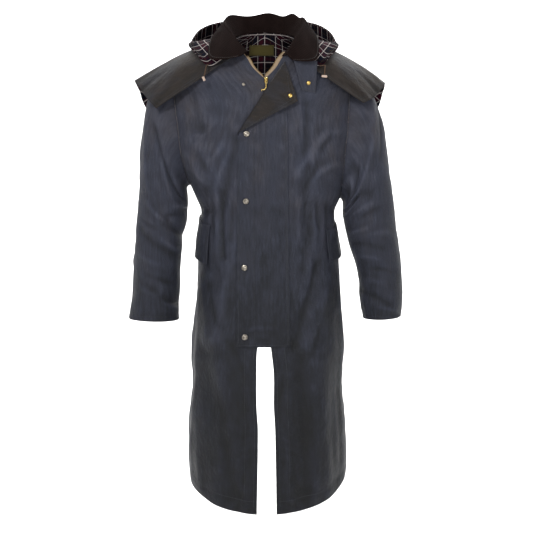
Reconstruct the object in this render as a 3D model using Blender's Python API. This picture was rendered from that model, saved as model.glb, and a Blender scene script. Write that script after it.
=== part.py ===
"""A waxed duster coat with a shoulder cape, a corduroy collar and a hood laid back.

The coat keeps the hollow form that it has when it is worn. Lengths are in metres, +Z is
up, the front faces -Y and the wearer's left is at +X. The origin is at the nape of the
neck, where the coat is carried. An angle round the body starts at the centre front and
grows towards the wearer's left.
"""

import math

import bmesh
import bpy
from mathutils import Matrix, Vector

# Cloth thicknesses and the gap between pieces at a seam
SHELL = 0.0022
CORDUROY = 0.0026
LINING = 0.0010
TAPE = 0.0011
GAP = 0.0003

# Room that a piece lying on another one needs, as both are flat between their points
EASE = 0.0012

# Cells of the cloth walls
BODY_ACROSS = 9
ROWS_BELOW = 14
ROWS_ABOVE = 10
ARMPIT_ROW = ROWS_BELOW / (ROWS_BELOW + ROWS_ABOVE)
ROW_CROWDING = 0.75
V_SHARE = 0.40
BACK_SEAM_SHARE = 0.50
CHEST_Z = -0.404

RIGHT = -1
LEFT = 1

# Sections of the body: height, half width on the wearer's right and left, depth to the
# front and to the back, and how square the section is
BODY = [
    # z, right, left, front, back, power
    (0.024, 0.058, 0.058, 0.072, 0.072, 2.3),
    (0.002, 0.078, 0.078, 0.082, 0.080, 2.4),
    (-0.016, 0.110, 0.108, 0.092, 0.088, 2.5),
    (-0.036, 0.148, 0.142, 0.100, 0.095, 2.6),
    (-0.058, 0.188, 0.176, 0.107, 0.101, 2.6),
    (-0.088, 0.238, 0.216, 0.116, 0.108, 2.7),
    (-0.113, 0.249, 0.226, 0.124, 0.112, 2.7),
    (-0.163, 0.255, 0.234, 0.132, 0.118, 2.7),
    (-0.212, 0.256, 0.239, 0.137, 0.122, 2.7),
    (-0.290, 0.244, 0.234, 0.140, 0.122, 2.6),
    (-0.352, 0.219, 0.222, 0.137, 0.116, 2.5),
    (-0.385, 0.200, 0.212, 0.133, 0.111, 2.4),
    (-0.420, 0.184, 0.200, 0.128, 0.106, 2.4),
    (-0.456, 0.171, 0.187, 0.124, 0.103, 2.3),
    (-0.520, 0.177, 0.194, 0.126, 0.106, 2.3),
    (-0.620, 0.181, 0.199, 0.136, 0.120, 2.3),
    (-0.720, 0.189, 0.205, 0.146, 0.136, 2.3),
    (-0.834, 0.196, 0.213, 0.153, 0.148, 2.3),
    (-0.925, 0.193, 0.210, 0.158, 0.155, 2.3),
    (-1.010, 0.203, 0.216, 0.162, 0.160, 2.3),
    (-1.100, 0.207, 0.221, 0.166, 0.164, 2.3),
    (-1.177, 0.204, 0.218, 0.169, 0.167, 2.3),
    (-1.245, 0.201, 0.214, 0.171, 0.169, 2.3),
]

# Height of the neckline by the angle from the centre front, the same on both sides
NECKLINE = [
    # degrees, z
    (0.0, -0.113),
    (7.0, -0.086),
    (14.0, -0.058),
    (25.0, -0.036),
    (40.0, -0.016),
    (90.0, 0.002),
    (120.0, 0.013),
    (147.0, 0.019),
    (180.0, 0.022),
]

# Height of the hem round the body, from the centre back on the wearer's right, through
# the centre front at 0, to the centre back again
HEM = [
    # degrees, z
    (-180.0, -1.168),
    (-120.0, -1.172),
    (-90.0, -1.178),
    (-62.0, -1.196),
    (-35.0, -1.226),
    (0.0, -1.240),
    (35.0, -1.226),
    (62.0, -1.192),
    (90.0, -1.162),
    (120.0, -1.162),
    (180.0, -1.168),
]

# Front edges: closed on the zip, then apart down to the hem
FRONT_EDGES = [
    # z, edge on the wearer's right, edge on the wearer's left
    (-0.113, 0.0028, 0.0032),
    (-0.620, 0.0028, 0.0032),
    (-0.640, 0.0027, 0.0033),
    (-0.700, 0.0006, 0.0050),
    (-0.806, -0.0195, 0.0155),
    (-0.870, -0.0220, 0.0225),
    (-0.960, -0.0215, 0.0230),
    (-1.020, -0.0180, 0.0262),
    (-1.240, -0.0213, 0.0305),
]

# Centre back: a seam, and below it the two edges of the riding vent
BACK_EDGES = [
    # z, edge on the wearer's right, edge on the wearer's left
    (0.022, -0.0002, 0.0002),
    (-0.540, -0.0002, 0.0002),
    (-0.560, -0.0003, 0.0003),
    (-0.640, -0.0030, 0.0040),
    (-0.850, -0.0290, 0.0270),
    (-1.000, -0.0400, 0.0370),
    (-1.170, -0.0470, 0.0460),
]

# Armholes: centre height and half height, centre depth and half depth
ARMHOLES = {
    # side: z, half height, y, half depth
    RIGHT: (-0.237, 0.149, 0.005, 0.088),
    LEFT: (-0.256, 0.166, 0.005, 0.086),
}

# Folds of the body: a soft ridge (depth above zero) or trough along a line
FOLDS = [
    # face, x0, z0, x1, z1, half width, depth
    ("front", -0.073, -0.270, -0.109, -0.430, 0.016, -0.006),
    ("front", -0.186, -0.150, -0.166, -0.240, 0.014, -0.005),
    ("front", -0.083, -0.545, -0.130, -0.780, 0.020, 0.006),
    ("front", -0.155, -0.400, -0.150, -0.455, 0.013, -0.005),
    ("front", -0.112, -0.410, -0.106, -0.570, 0.013, -0.005),
    ("front", -0.160, -0.830, -0.080, -1.190, 0.026, -0.006),
    ("front", -0.118, -0.860, -0.050, -1.210, 0.022, 0.005),
    ("front", 0.150, -0.262, 0.084, -0.352, 0.015, 0.005),
    ("front", 0.104, -0.180, 0.112, -0.430, 0.016, -0.005),
    ("front", 0.137, -0.590, 0.078, -0.800, 0.018, -0.007),
    ("front", 0.118, -0.470, 0.100, -0.600, 0.014, -0.004),
    ("front", 0.056, -0.880, 0.062, -1.200, 0.018, 0.005),
    ("front", 0.096, -0.830, 0.106, -1.200, 0.020, -0.006),
    ("front", 0.145, -0.850, 0.160, -1.190, 0.024, 0.006),
    ("back", -0.130, -0.330, -0.070, -0.460, 0.018, -0.006),
    ("back", 0.125, -0.340, 0.066, -0.470, 0.018, -0.006),
    ("back", -0.105, -0.420, -0.118, -0.640, 0.016, -0.006),
    ("back", 0.100, -0.430, 0.112, -0.620, 0.016, -0.006),
    ("back", -0.075, -0.600, -0.098, -1.160, 0.026, 0.010),
    ("back", 0.070, -0.620, 0.092, -1.160, 0.026, 0.010),
    ("back", -0.140, -0.640, -0.160, -1.170, 0.026, -0.009),
    ("back", 0.136, -0.660, 0.158, -1.170, 0.026, -0.009),
]

# Rings of a sleeve from the armhole to the cuff, as a view from the front shows them:
# the outer and the inner point, with the half depth and the depth of the centre
SLEEVES = {
    RIGHT: [
        # along, outer x, outer z, inner x, inner z, half depth, centre y
        (0.00, -0.240, -0.088, -0.210, -0.386, 0.088, 0.005),
        (0.08, -0.282, -0.106, -0.211, -0.393, 0.092, 0.004),
        (0.17, -0.312, -0.158, -0.210, -0.402, 0.094, 0.002),
        (0.27, -0.326, -0.228, -0.209, -0.416, 0.091, 0.000),
        (0.38, -0.334, -0.310, -0.208, -0.440, 0.086, -0.003),
        (0.50, -0.338, -0.410, -0.211, -0.478, 0.080, -0.006),
        (0.62, -0.347, -0.500, -0.219, -0.524, 0.076, -0.010),
        (0.77, -0.352, -0.600, -0.226, -0.606, 0.073, -0.018),
        (0.89, -0.356, -0.680, -0.230, -0.684, 0.071, -0.026),
        (1.00, -0.3635, -0.741, -0.2325, -0.745, 0.070, -0.032),
    ],
    LEFT: [
        # along, outer x, outer z, inner x, inner z, half depth, centre y
        (0.00, 0.217, -0.090, 0.208, -0.422, 0.086, 0.005),
        (0.08, 0.262, -0.108, 0.210, -0.430, 0.090, 0.004),
        (0.17, 0.296, -0.162, 0.210, -0.440, 0.092, 0.002),
        (0.27, 0.315, -0.226, 0.209, -0.454, 0.090, 0.000),
        (0.38, 0.328, -0.310, 0.210, -0.474, 0.086, -0.003),
        (0.50, 0.341, -0.410, 0.217, -0.508, 0.080, -0.008),
        (0.62, 0.353, -0.510, 0.227, -0.552, 0.076, -0.014),
        (0.77, 0.364, -0.606, 0.248, -0.624, 0.073, -0.024),
        (0.89, 0.369, -0.690, 0.254, -0.690, 0.071, -0.034),
        (1.00, 0.362, -0.734, 0.265, -0.740, 0.069, -0.040),
    ],
}
ARMHOLE_BLEND = 0.16

# Folds of a sleeve: a line by the turn round the sleeve (0 outer, 0.25 front) and along it
SLEEVE_FOLDS = {
    RIGHT: [
        # turn0, along0, turn1, along1, half width, depth
        (0.20, 0.20, 0.42, 0.34, 0.018, -0.006),
        (0.30, 0.56, 0.48, 0.62, 0.016, -0.006),
        (0.12, 0.62, 0.34, 0.70, 0.016, -0.005),
        (0.22, 0.86, 0.44, 0.92, 0.014, -0.004),
        (0.62, 0.22, 0.80, 0.32, 0.020, -0.006),
        (0.56, 0.58, 0.76, 0.64, 0.018, -0.006),
    ],
    LEFT: [
        # turn0, along0, turn1, along1, half width, depth
        (0.10, 0.12, 0.28, 0.30, 0.020, 0.007),
        (0.36, 0.34, 0.24, 0.42, 0.016, -0.006),
        (0.40, 0.60, 0.20, 0.66, 0.016, -0.005),
        (0.42, 0.84, 0.20, 0.90, 0.014, -0.004),
        (0.62, 0.24, 0.82, 0.34, 0.020, -0.006),
        (0.58, 0.60, 0.78, 0.66, 0.018, -0.006),
    ],
}
SLEEVE_LENGTH = 0.66

# Cape: a row for each station round the neck, from one front edge through the back to
# the other, with where the cloth breaks over the shoulder and where its hem lies
CAPE = [
    # turn, neck degrees, fold x, y, z, hem x, y, z
    (0.00, -22.0, -0.160, -0.120, -0.108, -0.281, -0.104, -0.187),
    (0.06, -34.0, -0.196, -0.092, -0.070, -0.316, -0.066, -0.150),
    (0.13, -58.0, -0.212, -0.040, -0.044, -0.339, -0.022, -0.119),
    (0.20, -88.0, -0.214, 0.008, -0.036, -0.350, 0.022, -0.109),
    (0.27, -112.0, -0.206, 0.056, -0.046, -0.343, 0.078, -0.132),
    (0.34, -134.0, -0.180, 0.098, -0.080, -0.318, 0.126, -0.190),
    (0.42, -157.0, -0.104, 0.128, -0.128, -0.180, 0.160, -0.300),
    (0.50, -180.0, 0.000, 0.132, -0.142, 0.000, 0.166, -0.330),
    (0.58, -203.0, 0.102, 0.128, -0.128, 0.172, 0.160, -0.300),
    (0.66, -226.0, 0.174, 0.098, -0.080, 0.300, 0.126, -0.192),
    (0.73, -248.0, 0.198, 0.056, -0.048, 0.320, 0.078, -0.140),
    (0.80, -272.0, 0.204, 0.008, -0.040, 0.323, 0.022, -0.116),
    (0.87, -302.0, 0.200, -0.040, -0.048, 0.312, -0.026, -0.128),
    (0.94, -326.0, 0.182, -0.092, -0.072, 0.286, -0.070, -0.156),
    (1.00, -338.0, 0.150, -0.122, -0.104, 0.254, -0.108, -0.174),
]

# Hood laid back: a bag open at the top, by the turn from its front end to the centre
# back, with how far and how high it rests on the cape, and its outer wall and rim
HOOD = [
    # turn, lean, floor, clear, outer x, y, z, rim x, y, z
    (0.000, 0.10, 0.22, 0.0032, 0.134, -0.1190, -0.0790, 0.150, -0.1180, -0.079),
    (0.100, 0.12, 0.24, 0.0044, 0.155, -0.1080, -0.060, 0.172, -0.1040, -0.056),
    (0.250, 0.14, 0.26, 0.0060, 0.181, -0.0480, -0.020, 0.199, -0.0360, -0.024),
    (0.400, 0.15, 0.29, 0.0080, 0.190, 0.0300, -0.014, 0.201, 0.0380, -0.005),
    (0.600, 0.17, 0.38, 0.0120, 0.188, 0.1240, -0.022, 0.177, 0.0960, 0.024),
    (0.800, 0.21, 0.48, 0.0180, 0.122, 0.1980, -0.052, 0.112, 0.1420, 0.046),
    (1.000, 0.26, 0.56, 0.0200, 0.000, 0.2240, -0.068, 0.000, 0.1680, 0.052),
]
HOOD_LEFT = (0.965, 1.0, -0.003)

# Collar by the angle from the centre front: the roll at its top and the edge of its fall
COLLAR = [
    # degrees, roll x, y, z, edge x, y, z
    (14.0, 0.047, -0.112, -0.043, 0.063, -0.1240, -0.056),
    (27.0, 0.068, -0.094, -0.019, 0.102, -0.1390, -0.066),
    (52.0, 0.088, -0.061, 0.010, 0.143, -0.1350, -0.060),
    (84.0, 0.104, -0.012, 0.038, 0.142, -0.0640, -0.010),
    (112.0, 0.098, 0.036, 0.060, 0.130, 0.032, 0.016),
    (146.0, 0.060, 0.070, 0.070, 0.080, 0.092, 0.026),
    (180.0, 0.000, 0.080, 0.072, 0.000, 0.104, 0.028),
]
COLLAR_ROLLS = (0.0020, 0.0042)
COLLAR_WAVE = 0.0024
COLLAR_SEAM_RISE = 0.0028
COLLAR_CROWDING = 0.45

# Storm flap on the wearer's left front, with its top corner folded back
FLAP_SEAM_X = 0.0665
FLAP_EDGE_X = -0.0725
FLAP_BOTTOM_Z = -0.803
FLAP_FOLD_LOW = (-0.0700, -0.262)
FLAP_FOLD_TOP = (0.0560, -0.070)
FLAP_CORNER = (-0.0560, -0.080)
FLAP_ROLL = 0.0030
FLAP_LIFT = 0.0018
FLAP_COLUMNS = [0.0, 0.03, 0.07, 0.15, 0.3, 0.5, 0.7, 0.85, 0.93, 0.97, 1.0]
FLAP_ROWS = (18, 8)
FLAP_ROLL_ROWS = 3

# Small pieces on the fronts: places in a view from the front
FLAP_SNAPS = [
    # x, z
    (-0.0470, -0.254),
    (-0.0485, -0.425),
    (-0.0524, -0.5986),
    (-0.0514, -0.777),
]
SNAP_RADIUS = 0.0078
SOCKET_RADIUS = 0.0052
TAB_CORNERS = [
    # x, y, z: top inner, top outer, bottom outer, bottom inner
    (0.072, -0.1225, -0.060),
    (0.134, -0.1290, -0.068),
    (0.130, -0.1225, -0.150),
    (0.094, -0.1280, -0.143),
]
TAB_BULGE = 0.0020
TAB_SOCKET = (0.55, 0.72)

# Pocket flaps: front edge, corner heights, and how far they wrap round the side
POCKETS = {
    # side: front x, top z, bottom z, side angle, rise towards the side, lift of the seam
    RIGHT: (-0.141, -0.491, -0.594, 101.0, 0.026, 0.0028),
    LEFT: (0.159, -0.503, -0.588, 101.0, 0.020, 0.0014),
}
POCKET_LIFT = 0.0060

# Zip: the slider at the foot of the open neck, and its pull, which hangs from the bar
SLIDER_Z = -0.1165
SLIDER_X = 0.0030
SLIDER_SIZE = (0.0085, 0.0044, 0.0130)
BRIDGE_WIDTH = 0.0020
BRIDGE_RISE = 0.0042
BRIDGE_WIRE = 0.0009
PULL_HEAD = (0.0064, 0.0018, 0.0095)
PULL_EYE = (0.0034, 0.0066)
PULL_BAR = 0.0011
PULL_TAIL_RADIUS = 0.0014

# Hood cords: hand-placed routes of their free ends, and the toggles that end them
CORD_RADIUS = 0.0015
CORD_EXIT = (0.004, 0.90)
CORDS = {
    RIGHT: [
        # x, y, z
        (-0.1490, -0.1262, -0.0790),
        (-0.1500, -0.1312, -0.0835),
        (-0.1512, -0.1352, -0.0890),
        (-0.1524, -0.1378, -0.0955),
        (-0.1534, -0.1396, -0.1020),
        (-0.1545, -0.1410, -0.1080),
    ],
    LEFT: [
        # x, y, z
        (0.1530, -0.1262, -0.0790),
        (0.1535, -0.1308, -0.0830),
        (0.1532, -0.1342, -0.0880),
        (0.1526, -0.1366, -0.0935),
        (0.1520, -0.1384, -0.0990),
        (0.1516, -0.1396, -0.1044),
    ],
}
TOGGLE_SIZE = {
    # side: length, radius, turn from upright in degrees
    RIGHT: (0.0120, 0.0034, 24.0),
    LEFT: (0.0150, 0.0032, 84.0),
}

# Lining and label inside the back of the neck
LINING_SPAN = 142.0
LINING_FOOT_Z = -0.150
LINING_TOP_GAP = 0.0040
LABEL_X = (-0.044, 0.025)
LABEL_Z = (-0.005, -0.034)


def clear_scene():
    """Remove every object that the file opened with."""
    for item in list(bpy.data.objects):
        bpy.data.objects.remove(item)


def read(table, place):
    """The columns of a table at a place between its rows, on one smooth curve."""
    keys = [row[0] for row in table]
    sign = 1 if keys[-1] > keys[0] else -1
    last = len(table) - 1
    place = sign * min(max(sign * place, sign * keys[0]), sign * keys[-1])
    low = 0
    while low < last - 1 and sign * place > sign * keys[low + 1]:
        low += 1
    high = low + 1
    before = max(low - 1, 0)
    after = min(high + 1, last)
    span = keys[high] - keys[low]
    t = (place - keys[low]) / span
    values = []
    for column in range(1, len(table[0])):
        start = table[low][column]
        end = table[high][column]
        leave = (end - table[before][column]) / (keys[high] - keys[before]) * span
        reach = (table[after][column] - start) / (keys[after] - keys[low]) * span
        values.append(
            start * (1 + 2 * t) * (1 - t) ** 2
            + leave * t * (1 - t) ** 2
            + end * t * t * (3 - 2 * t)
            + reach * t * t * (t - 1)
        )
    return values


def mix(start, end, share):
    return start + (end - start) * share


def ease(share):
    share = min(max(share, 0.0), 1.0)
    return share * share * (3 - 2 * share)


def slope_normal(point, u, v, du, dv):
    """Unit normal of a surface point(u, v), to the right hand of its two directions."""
    across = point(u + du, v) - point(u - du, v)
    along = point(u, v + dv) - point(u, v - dv)
    return across.cross(along).normalized()


# Body surface


def skin(angle, z):
    """A point of the smooth body form."""
    right, left, front, back, power = read(BODY, z)
    sine = math.sin(angle)
    cosine = math.cos(angle)
    reach = (abs(sine) ** power + abs(cosine) ** power) ** (-1 / power)
    wide = left if sine > 0 else right
    deep = front if cosine > 0 else back
    return Vector((wide * sine * reach, -deep * cosine * reach, z))


def angle_at_x(x, z, face="front"):
    """The angle at which the body's front or back has a given x."""
    right, left, _, _, power = read(BODY, z)
    share = min(abs(x) / (left if x > 0 else right), 1.0)
    angle = math.atan2(share, (1 - share ** power) ** (1 / power))
    if face == "back":
        angle = math.pi - angle
    return math.copysign(angle, x)


def angle_at_y(side, y, z):
    """The angle at which one side of the body has a given y."""
    _, _, front, back, power = read(BODY, z)
    share = min(abs(y) / (front if y < 0 else back), 1.0)
    angle = math.atan2((1 - share ** power) ** (1 / power), share)
    if y > 0:
        angle = math.pi - angle
    return side * angle


def fold_depth(point):
    """How far the folds move a point of the body outwards."""
    face = "front" if point.y < 0 else "back"
    total = 0.0
    for fold_face, x0, z0, x1, z1, width, depth in FOLDS:
        if fold_face != face:
            continue
        run = Vector((x1 - x0, z1 - z0))
        start = Vector((point.x - x0, point.z - z0))
        share = min(max(start.dot(run) / run.length_squared, 0.0), 1.0)
        away = (start - run * share).length / width
        total += depth * math.exp(-away * away)
    return total


def body(angle, z, out=0.0):
    """A point of the body's outer face, moved outwards by a distance."""
    point = skin(angle, z)
    normal = slope_normal(skin, angle, z, 0.004, 0.001)
    return point + normal * (fold_depth(point) + out)


def body_normal(angle, z):
    return slope_normal(skin, angle, z, 0.004, 0.001)


def neck_z(degrees):
    """Height of the neckline at an angle from the centre front, on either side."""
    degrees = abs(degrees) % 360
    return read(NECKLINE, min(degrees, 360 - degrees))[0]


def neck(degrees, out=0.0):
    """A point of the neckline."""
    return body(math.radians(degrees), neck_z(degrees), out)


def armhole(side, turn):
    """Height, depth and angle of a point of an armhole, by its turn from the top."""
    z0, half_height, y0, half_depth = ARMHOLES[side]
    z = z0 + half_height * math.cos(turn)
    y = y0 - half_depth * math.sin(turn)
    return z, angle_at_y(side, y, z)


def panel(side, face, u, v, out=0.0):
    """A point of one front or back panel: u from its edge to its side, v upwards."""
    front = face == "front"
    seam = (90 if front else -90) * math.pi / 180
    column = 1 if side == LEFT else 0
    edges = FRONT_EDGES if front else BACK_EDGES
    z_armhole, half_height, _, _ = ARMHOLES[side]
    armpit = z_armhole - half_height
    if v <= ARMPIT_ROW:
        rise = (v / ARMPIT_ROW) ** ROW_CROWDING
        outer_angle = side * (seam if front else math.pi + seam)
        edge_hem = HEM[5][1] if front else HEM[0][1]
        inner_z = mix(edge_hem, CHEST_Z, rise)
        inner_angle = angle_at_x(read(edges, inner_z)[column], inner_z, face)
        if inner_angle * side < 0 and not front:
            inner_angle += side * 2 * math.pi
        angle = mix(inner_angle, outer_angle, u)
        hem = read(HEM, wrap_degrees(angle))[0]
        z = mix(hem, mix(CHEST_Z, armpit, u), rise)
    else:
        rise = (v - ARMPIT_ROW) / (1 - ARMPIT_ROW)
        turn = math.pi * (1 - rise)
        outer_z, outer_angle = armhole(side, turn if front else -turn)
        if front:
            if rise < V_SHARE:
                inner_z = mix(CHEST_Z, NECKLINE[0][1], rise / V_SHARE)
                inner_angle = angle_at_x(read(edges, inner_z)[column], inner_z, face)
            else:
                along = (rise - V_SHARE) / (1 - V_SHARE)
                start = math.degrees(angle_at_x(edges[0][column + 1], NECKLINE[0][1]))
                degrees = mix(abs(start), 90, along ** 1.6)
                inner_z = neck_z(degrees)
                inner_angle = side * math.radians(degrees)
        else:
            along = max(rise - BACK_SEAM_SHARE, 0.0) / (1 - BACK_SEAM_SHARE)
            inner_z = mix(CHEST_Z, NECKLINE[-1][1], min(rise / BACK_SEAM_SHARE, 1.0))
            degrees = mix(180, 90, along)
            if along > 0:
                inner_z = neck_z(degrees)
            inner_angle = side * math.radians(degrees)
            if along == 0:
                inner_angle = side * (math.pi - 0.0002 / 0.11)
        angle = mix(inner_angle, outer_angle, u)
        z = mix(inner_z, outer_z, u)
    parting = 0.6 * GAP / read(BODY, z)[2 if front else 3]
    limit = side * (math.pi / 2 + (-parting if front else parting))
    if front:
        angle = side * min(side * angle, side * limit)
    else:
        angle = side * max(side * angle, side * limit)
    return body(angle, z, out)


def wrap_degrees(angle):
    degrees = math.degrees(angle)
    return (degrees + 180) % 360 - 180


# Sleeves


def sleeve_skin(side, turn, along):
    """A point of a sleeve: turn 0 is the outer line, 0.25 the front, 0.5 the inner line."""
    outer_x, outer_z, inner_x, inner_z, depth, centre_y = read(SLEEVES[side], along)
    outer = Vector((outer_x, centre_y, outer_z))
    inner = Vector((inner_x, centre_y, inner_z))
    angle = turn * 2 * math.pi
    point = (outer + inner) / 2 + (outer - inner) / 2 * math.cos(angle)
    point.y -= depth * math.sin(angle)
    if along < ARMHOLE_BLEND:
        z, body_angle = armhole(side, angle)
        start = body(body_angle, z) + Vector((side * 0.8 * EASE, 0, 0))
        point = point.lerp(start, (1 - along / ARMHOLE_BLEND) ** 2)
    return point


def sleeve(side, turn, along, out=0.0):
    """A point of a sleeve's outer face with its folds, moved outwards by a distance."""
    along = max(along, 0.0)

    def skin_here(around, down):
        return sleeve_skin(side, around, max(down, 0.0))

    point = skin_here(turn, along)
    normal = slope_normal(skin_here, turn, along, 0.004, 0.004) * side
    if along < ARMHOLE_BLEND:
        z, body_angle = armhole(side, turn * 2 * math.pi)
        from_armpit = abs(turn % 1.0 - 0.5)
        share = (1 - along / ARMHOLE_BLEND) ** 2 * ease((from_armpit - 0.06) / 0.10)
        normal = normal.lerp(body_normal(body_angle, z), share).normalized()
    ring = (read(SLEEVES[side], along)[4] + 0.066) * math.pi
    lift = 0.0
    for turn0, along0, turn1, along1, width, depth in SLEEVE_FOLDS[side]:
        run = Vector(((turn1 - turn0) * ring, (along1 - along0) * SLEEVE_LENGTH))
        start = Vector(((turn - turn0) * ring, (along - along0) * SLEEVE_LENGTH))
        share = min(max(start.dot(run) / run.length_squared, 0.0), 1.0)
        away = (start - run * share).length / width
        lift += depth * math.exp(-away * away)
    return point + normal * (lift * ease(along / ARMHOLE_BLEND) + out)


# Cape, hood and collar


def cape_skin(turn, fall):
    degrees, fold_x, fold_y, fold_z, hem_x, hem_y, hem_z = read(CAPE, turn)
    start = neck(degrees, SHELL + EASE)
    fold = Vector((fold_x, fold_y, fold_z))
    hem = Vector((hem_x, hem_y, hem_z))
    bend = fold * 2 - (start + hem) / 2
    return start * (1 - fall) ** 2 + bend * 2 * fall * (1 - fall) + hem * fall ** 2


def cape(turn, fall, out=0.0):
    """A point of the cape's outer face: turn round the neck, fall from neck to hem."""
    normal = slope_normal(cape_skin, turn, fall, 0.004, 0.01)
    return cape_skin(turn, fall) + normal * out


def hood_skin(turn, rise):
    """A point of the hood's outer face, from the neck seam down and up to the rim."""
    half = min(2 * turn, 2 - 2 * turn)
    side = RIGHT if turn < 0.5 else LEFT
    lean, floor, clear, outer_x, outer_y, outer_z, rim_x, rim_y, rim_z = read(HOOD, half)
    scale_x, scale_y, drop = HOOD_LEFT if side == LEFT else (1.0, 1.0, 0.0)
    seat = 0.010 + 0.980 * turn
    outer = (side * outer_x * scale_x, outer_y * scale_y, outer_z + drop * (1 - half))
    rim = (side * rim_x * scale_x, rim_y * scale_y, rim_z + drop * (1 - half))
    rows = [
        (0.00, *cape(seat, 0.02, EASE)),
        (0.22, *cape(seat, lean, 0.5 * (EASE + clear))),
        (0.50, *cape(seat, floor, clear)),
        (0.80, *outer),
        (1.00, *rim),
    ]
    return Vector(read(rows, rise))


def hood(turn, rise, out=0.0):
    """The hood, moved outwards from its bag by a distance."""
    rise = min(max(rise, 0.0), 1.0)
    normal = -slope_normal(hood_skin, turn, rise, 0.004, 0.01)
    return hood_skin(turn, rise) + normal * out


def collar_skin(turn, rise):
    """A point of the collar: stand, roll and fall, on the face that the fall shows."""
    degrees = mix(-COLLAR[0][0], COLLAR[0][0] - 360, turn)
    half = min(abs(degrees), 360 - abs(degrees))
    side = RIGHT if turn < 0.5 else LEFT
    roll_x, roll_y, roll_z, edge_x, edge_y, edge_z = read(COLLAR, half)
    wave = COLLAR_WAVE * math.sin(turn * 34) * ease((half - 60) / 80)
    seam = neck(degrees, -0.5 * SHELL) + Vector((0, 0, COLLAR_SEAM_RISE))
    roll = Vector((side * roll_x, roll_y, roll_z + wave))
    edge = Vector((side * edge_x, edge_y, edge_z))
    radius = mix(*COLLAR_ROLLS, ease((half - COLLAR[0][0]) / 70))
    away = Vector((roll.x, roll.y - 0.006, 0)).normalized() * radius
    drop = Vector((0, 0, radius))
    rows = [
        (0.00, *seam),
        (0.38, *(roll - away - drop)),
        (0.46, *roll),
        (0.54, *(roll + away - drop)),
        (1.00, *edge),
    ]
    return Vector(read(rows, rise))


def collar(turn, rise, out=0.0):
    normal = slope_normal(collar_skin, turn, rise, 0.004, 0.01)
    return collar_skin(turn, rise) - normal * out


# Pieces that lie on the fronts


def front_point(x, z, out=0.0):
    """A point of the fronts' outer face by its place in a view from the front."""
    return body(angle_at_x(x, z), z, out)


def flap_flat(u, v):
    """The storm flap before its corner is folded: u from seam to free edge, v upwards."""
    columns = len(FLAP_COLUMNS) - 1
    column = min(int(u * columns + 1e-6), columns - 1)
    u = mix(FLAP_COLUMNS[column], FLAP_COLUMNS[column + 1], u * columns - column)
    edge = Vector((FLAP_EDGE_X, FLAP_BOTTOM_Z))
    seam = Vector((FLAP_SEAM_X, FLAP_BOTTOM_Z))
    low = Vector(FLAP_FOLD_LOW)
    top = Vector(FLAP_FOLD_TOP)
    corner = Vector(FLAP_CORNER)
    fold = top.lerp(low, u)
    row = v * sum(FLAP_ROWS)
    if row <= FLAP_ROWS[0]:
        return seam.lerp(edge, u).lerp(fold, row / FLAP_ROWS[0])
    far = top.lerp(corner, u / 0.5) if u < 0.5 else corner.lerp(low, u / 0.5 - 1)
    rolled = math.pi * FLAP_ROLL / max((far - fold).length, 1e-6)
    row -= FLAP_ROWS[0]
    rolled = min(rolled, FLAP_ROLL_ROWS / FLAP_ROWS[1])
    if row <= FLAP_ROLL_ROWS:
        return fold.lerp(far, rolled * row / FLAP_ROLL_ROWS)
    share = (row - FLAP_ROLL_ROWS) / (FLAP_ROWS[1] - FLAP_ROLL_ROWS)
    return fold.lerp(far, mix(rolled, 1.0, share))


def flap_fold(flat, out):
    """Place and height of a flap point once everything past the fold line is rolled."""
    low = Vector(FLAP_FOLD_LOW)
    run = (Vector(FLAP_FOLD_TOP) - low).normalized()
    past = Vector((-run.y, run.x))
    distance = (flat - low).dot(past)
    base = SHELL + EASE + FLAP_LIFT * ease((FLAP_SEAM_X - flat.x) / 0.07)
    if distance <= 0:
        return flat, base + out
    radius = FLAP_ROLL - out
    turned = min(distance / FLAP_ROLL, math.pi)
    beyond = distance - turned * FLAP_ROLL
    shift = radius * math.sin(turned) - beyond
    place = flat + past * (shift - distance)
    return place, base + FLAP_ROLL - radius * math.cos(turned)


def flap(u, v, out=0.0):
    """A point of the storm flap's outer face; past the fold that face is turned in."""
    place, height = flap_fold(flap_flat(u, v), out)
    return front_point(place.x, place.y, height)


def tab_skin(u, v):
    top_in, top_out, low_out, low_in = [Vector(corner) for corner in TAB_CORNERS]
    place = top_in.lerp(top_out, u).lerp(low_in.lerp(low_out, u), v)
    return place - Vector((0, TAB_BULGE * math.sin(math.pi * v), 0))


def tab(u, v, out=0.0):
    """The throat tab under the collar: u outwards, v downwards."""
    return tab_skin(u, v) - slope_normal(tab_skin, u, v, 0.01, 0.01) * out


def pocket_flap(side, u, v, out=0.0):
    """A pocket flap: u from its front edge round the side, v upwards."""
    front_x, top, bottom, side_degrees, rise, seam = POCKETS[side]
    start = angle_at_x(front_x, top)
    angle = mix(start, side * math.radians(side_degrees), u)
    z = mix(bottom, top, v) + rise * u
    lift = POCKET_LIFT * (1 - v) ** 1.5 * (1 - 0.5 * u)
    return body(angle, z, SHELL + seam + lift + out)


def zip_tape(side, u, v, out=0.0):
    """A zip tape along the open neck: u from under the front to the teeth, v upwards."""
    z = mix(NECKLINE[0][1] + 0.004, -0.040, v)
    degrees = neck_degrees(z)
    edge = skin(side * math.radians(degrees), z)
    x = edge.x - side * mix(-0.005, 0.0085, u) * ease(0.35 + v * 4)
    x = side * max(side * x, 0.0005)
    return body(angle_at_x(x, z), z, -SHELL - 1.5 * EASE + out)


def neck_degrees(z):
    """The angle at which the front neckline has a height."""
    low = 0.0
    high = 60.0
    for _ in range(30):
        middle = (low + high) / 2
        if neck_z(middle) < z:
            low = middle
        else:
            high = middle
    return low


def back_lining(u, v, out=0.0):
    """Lining inside the back of the neck: u round the back, v upwards."""
    degrees = mix(LINING_SPAN, 360 - LINING_SPAN, u)
    z = mix(LINING_FOOT_Z, neck_z(degrees) - LINING_TOP_GAP, v)
    return body(math.radians(degrees), z, -SHELL - 2 * EASE + out)


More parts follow.
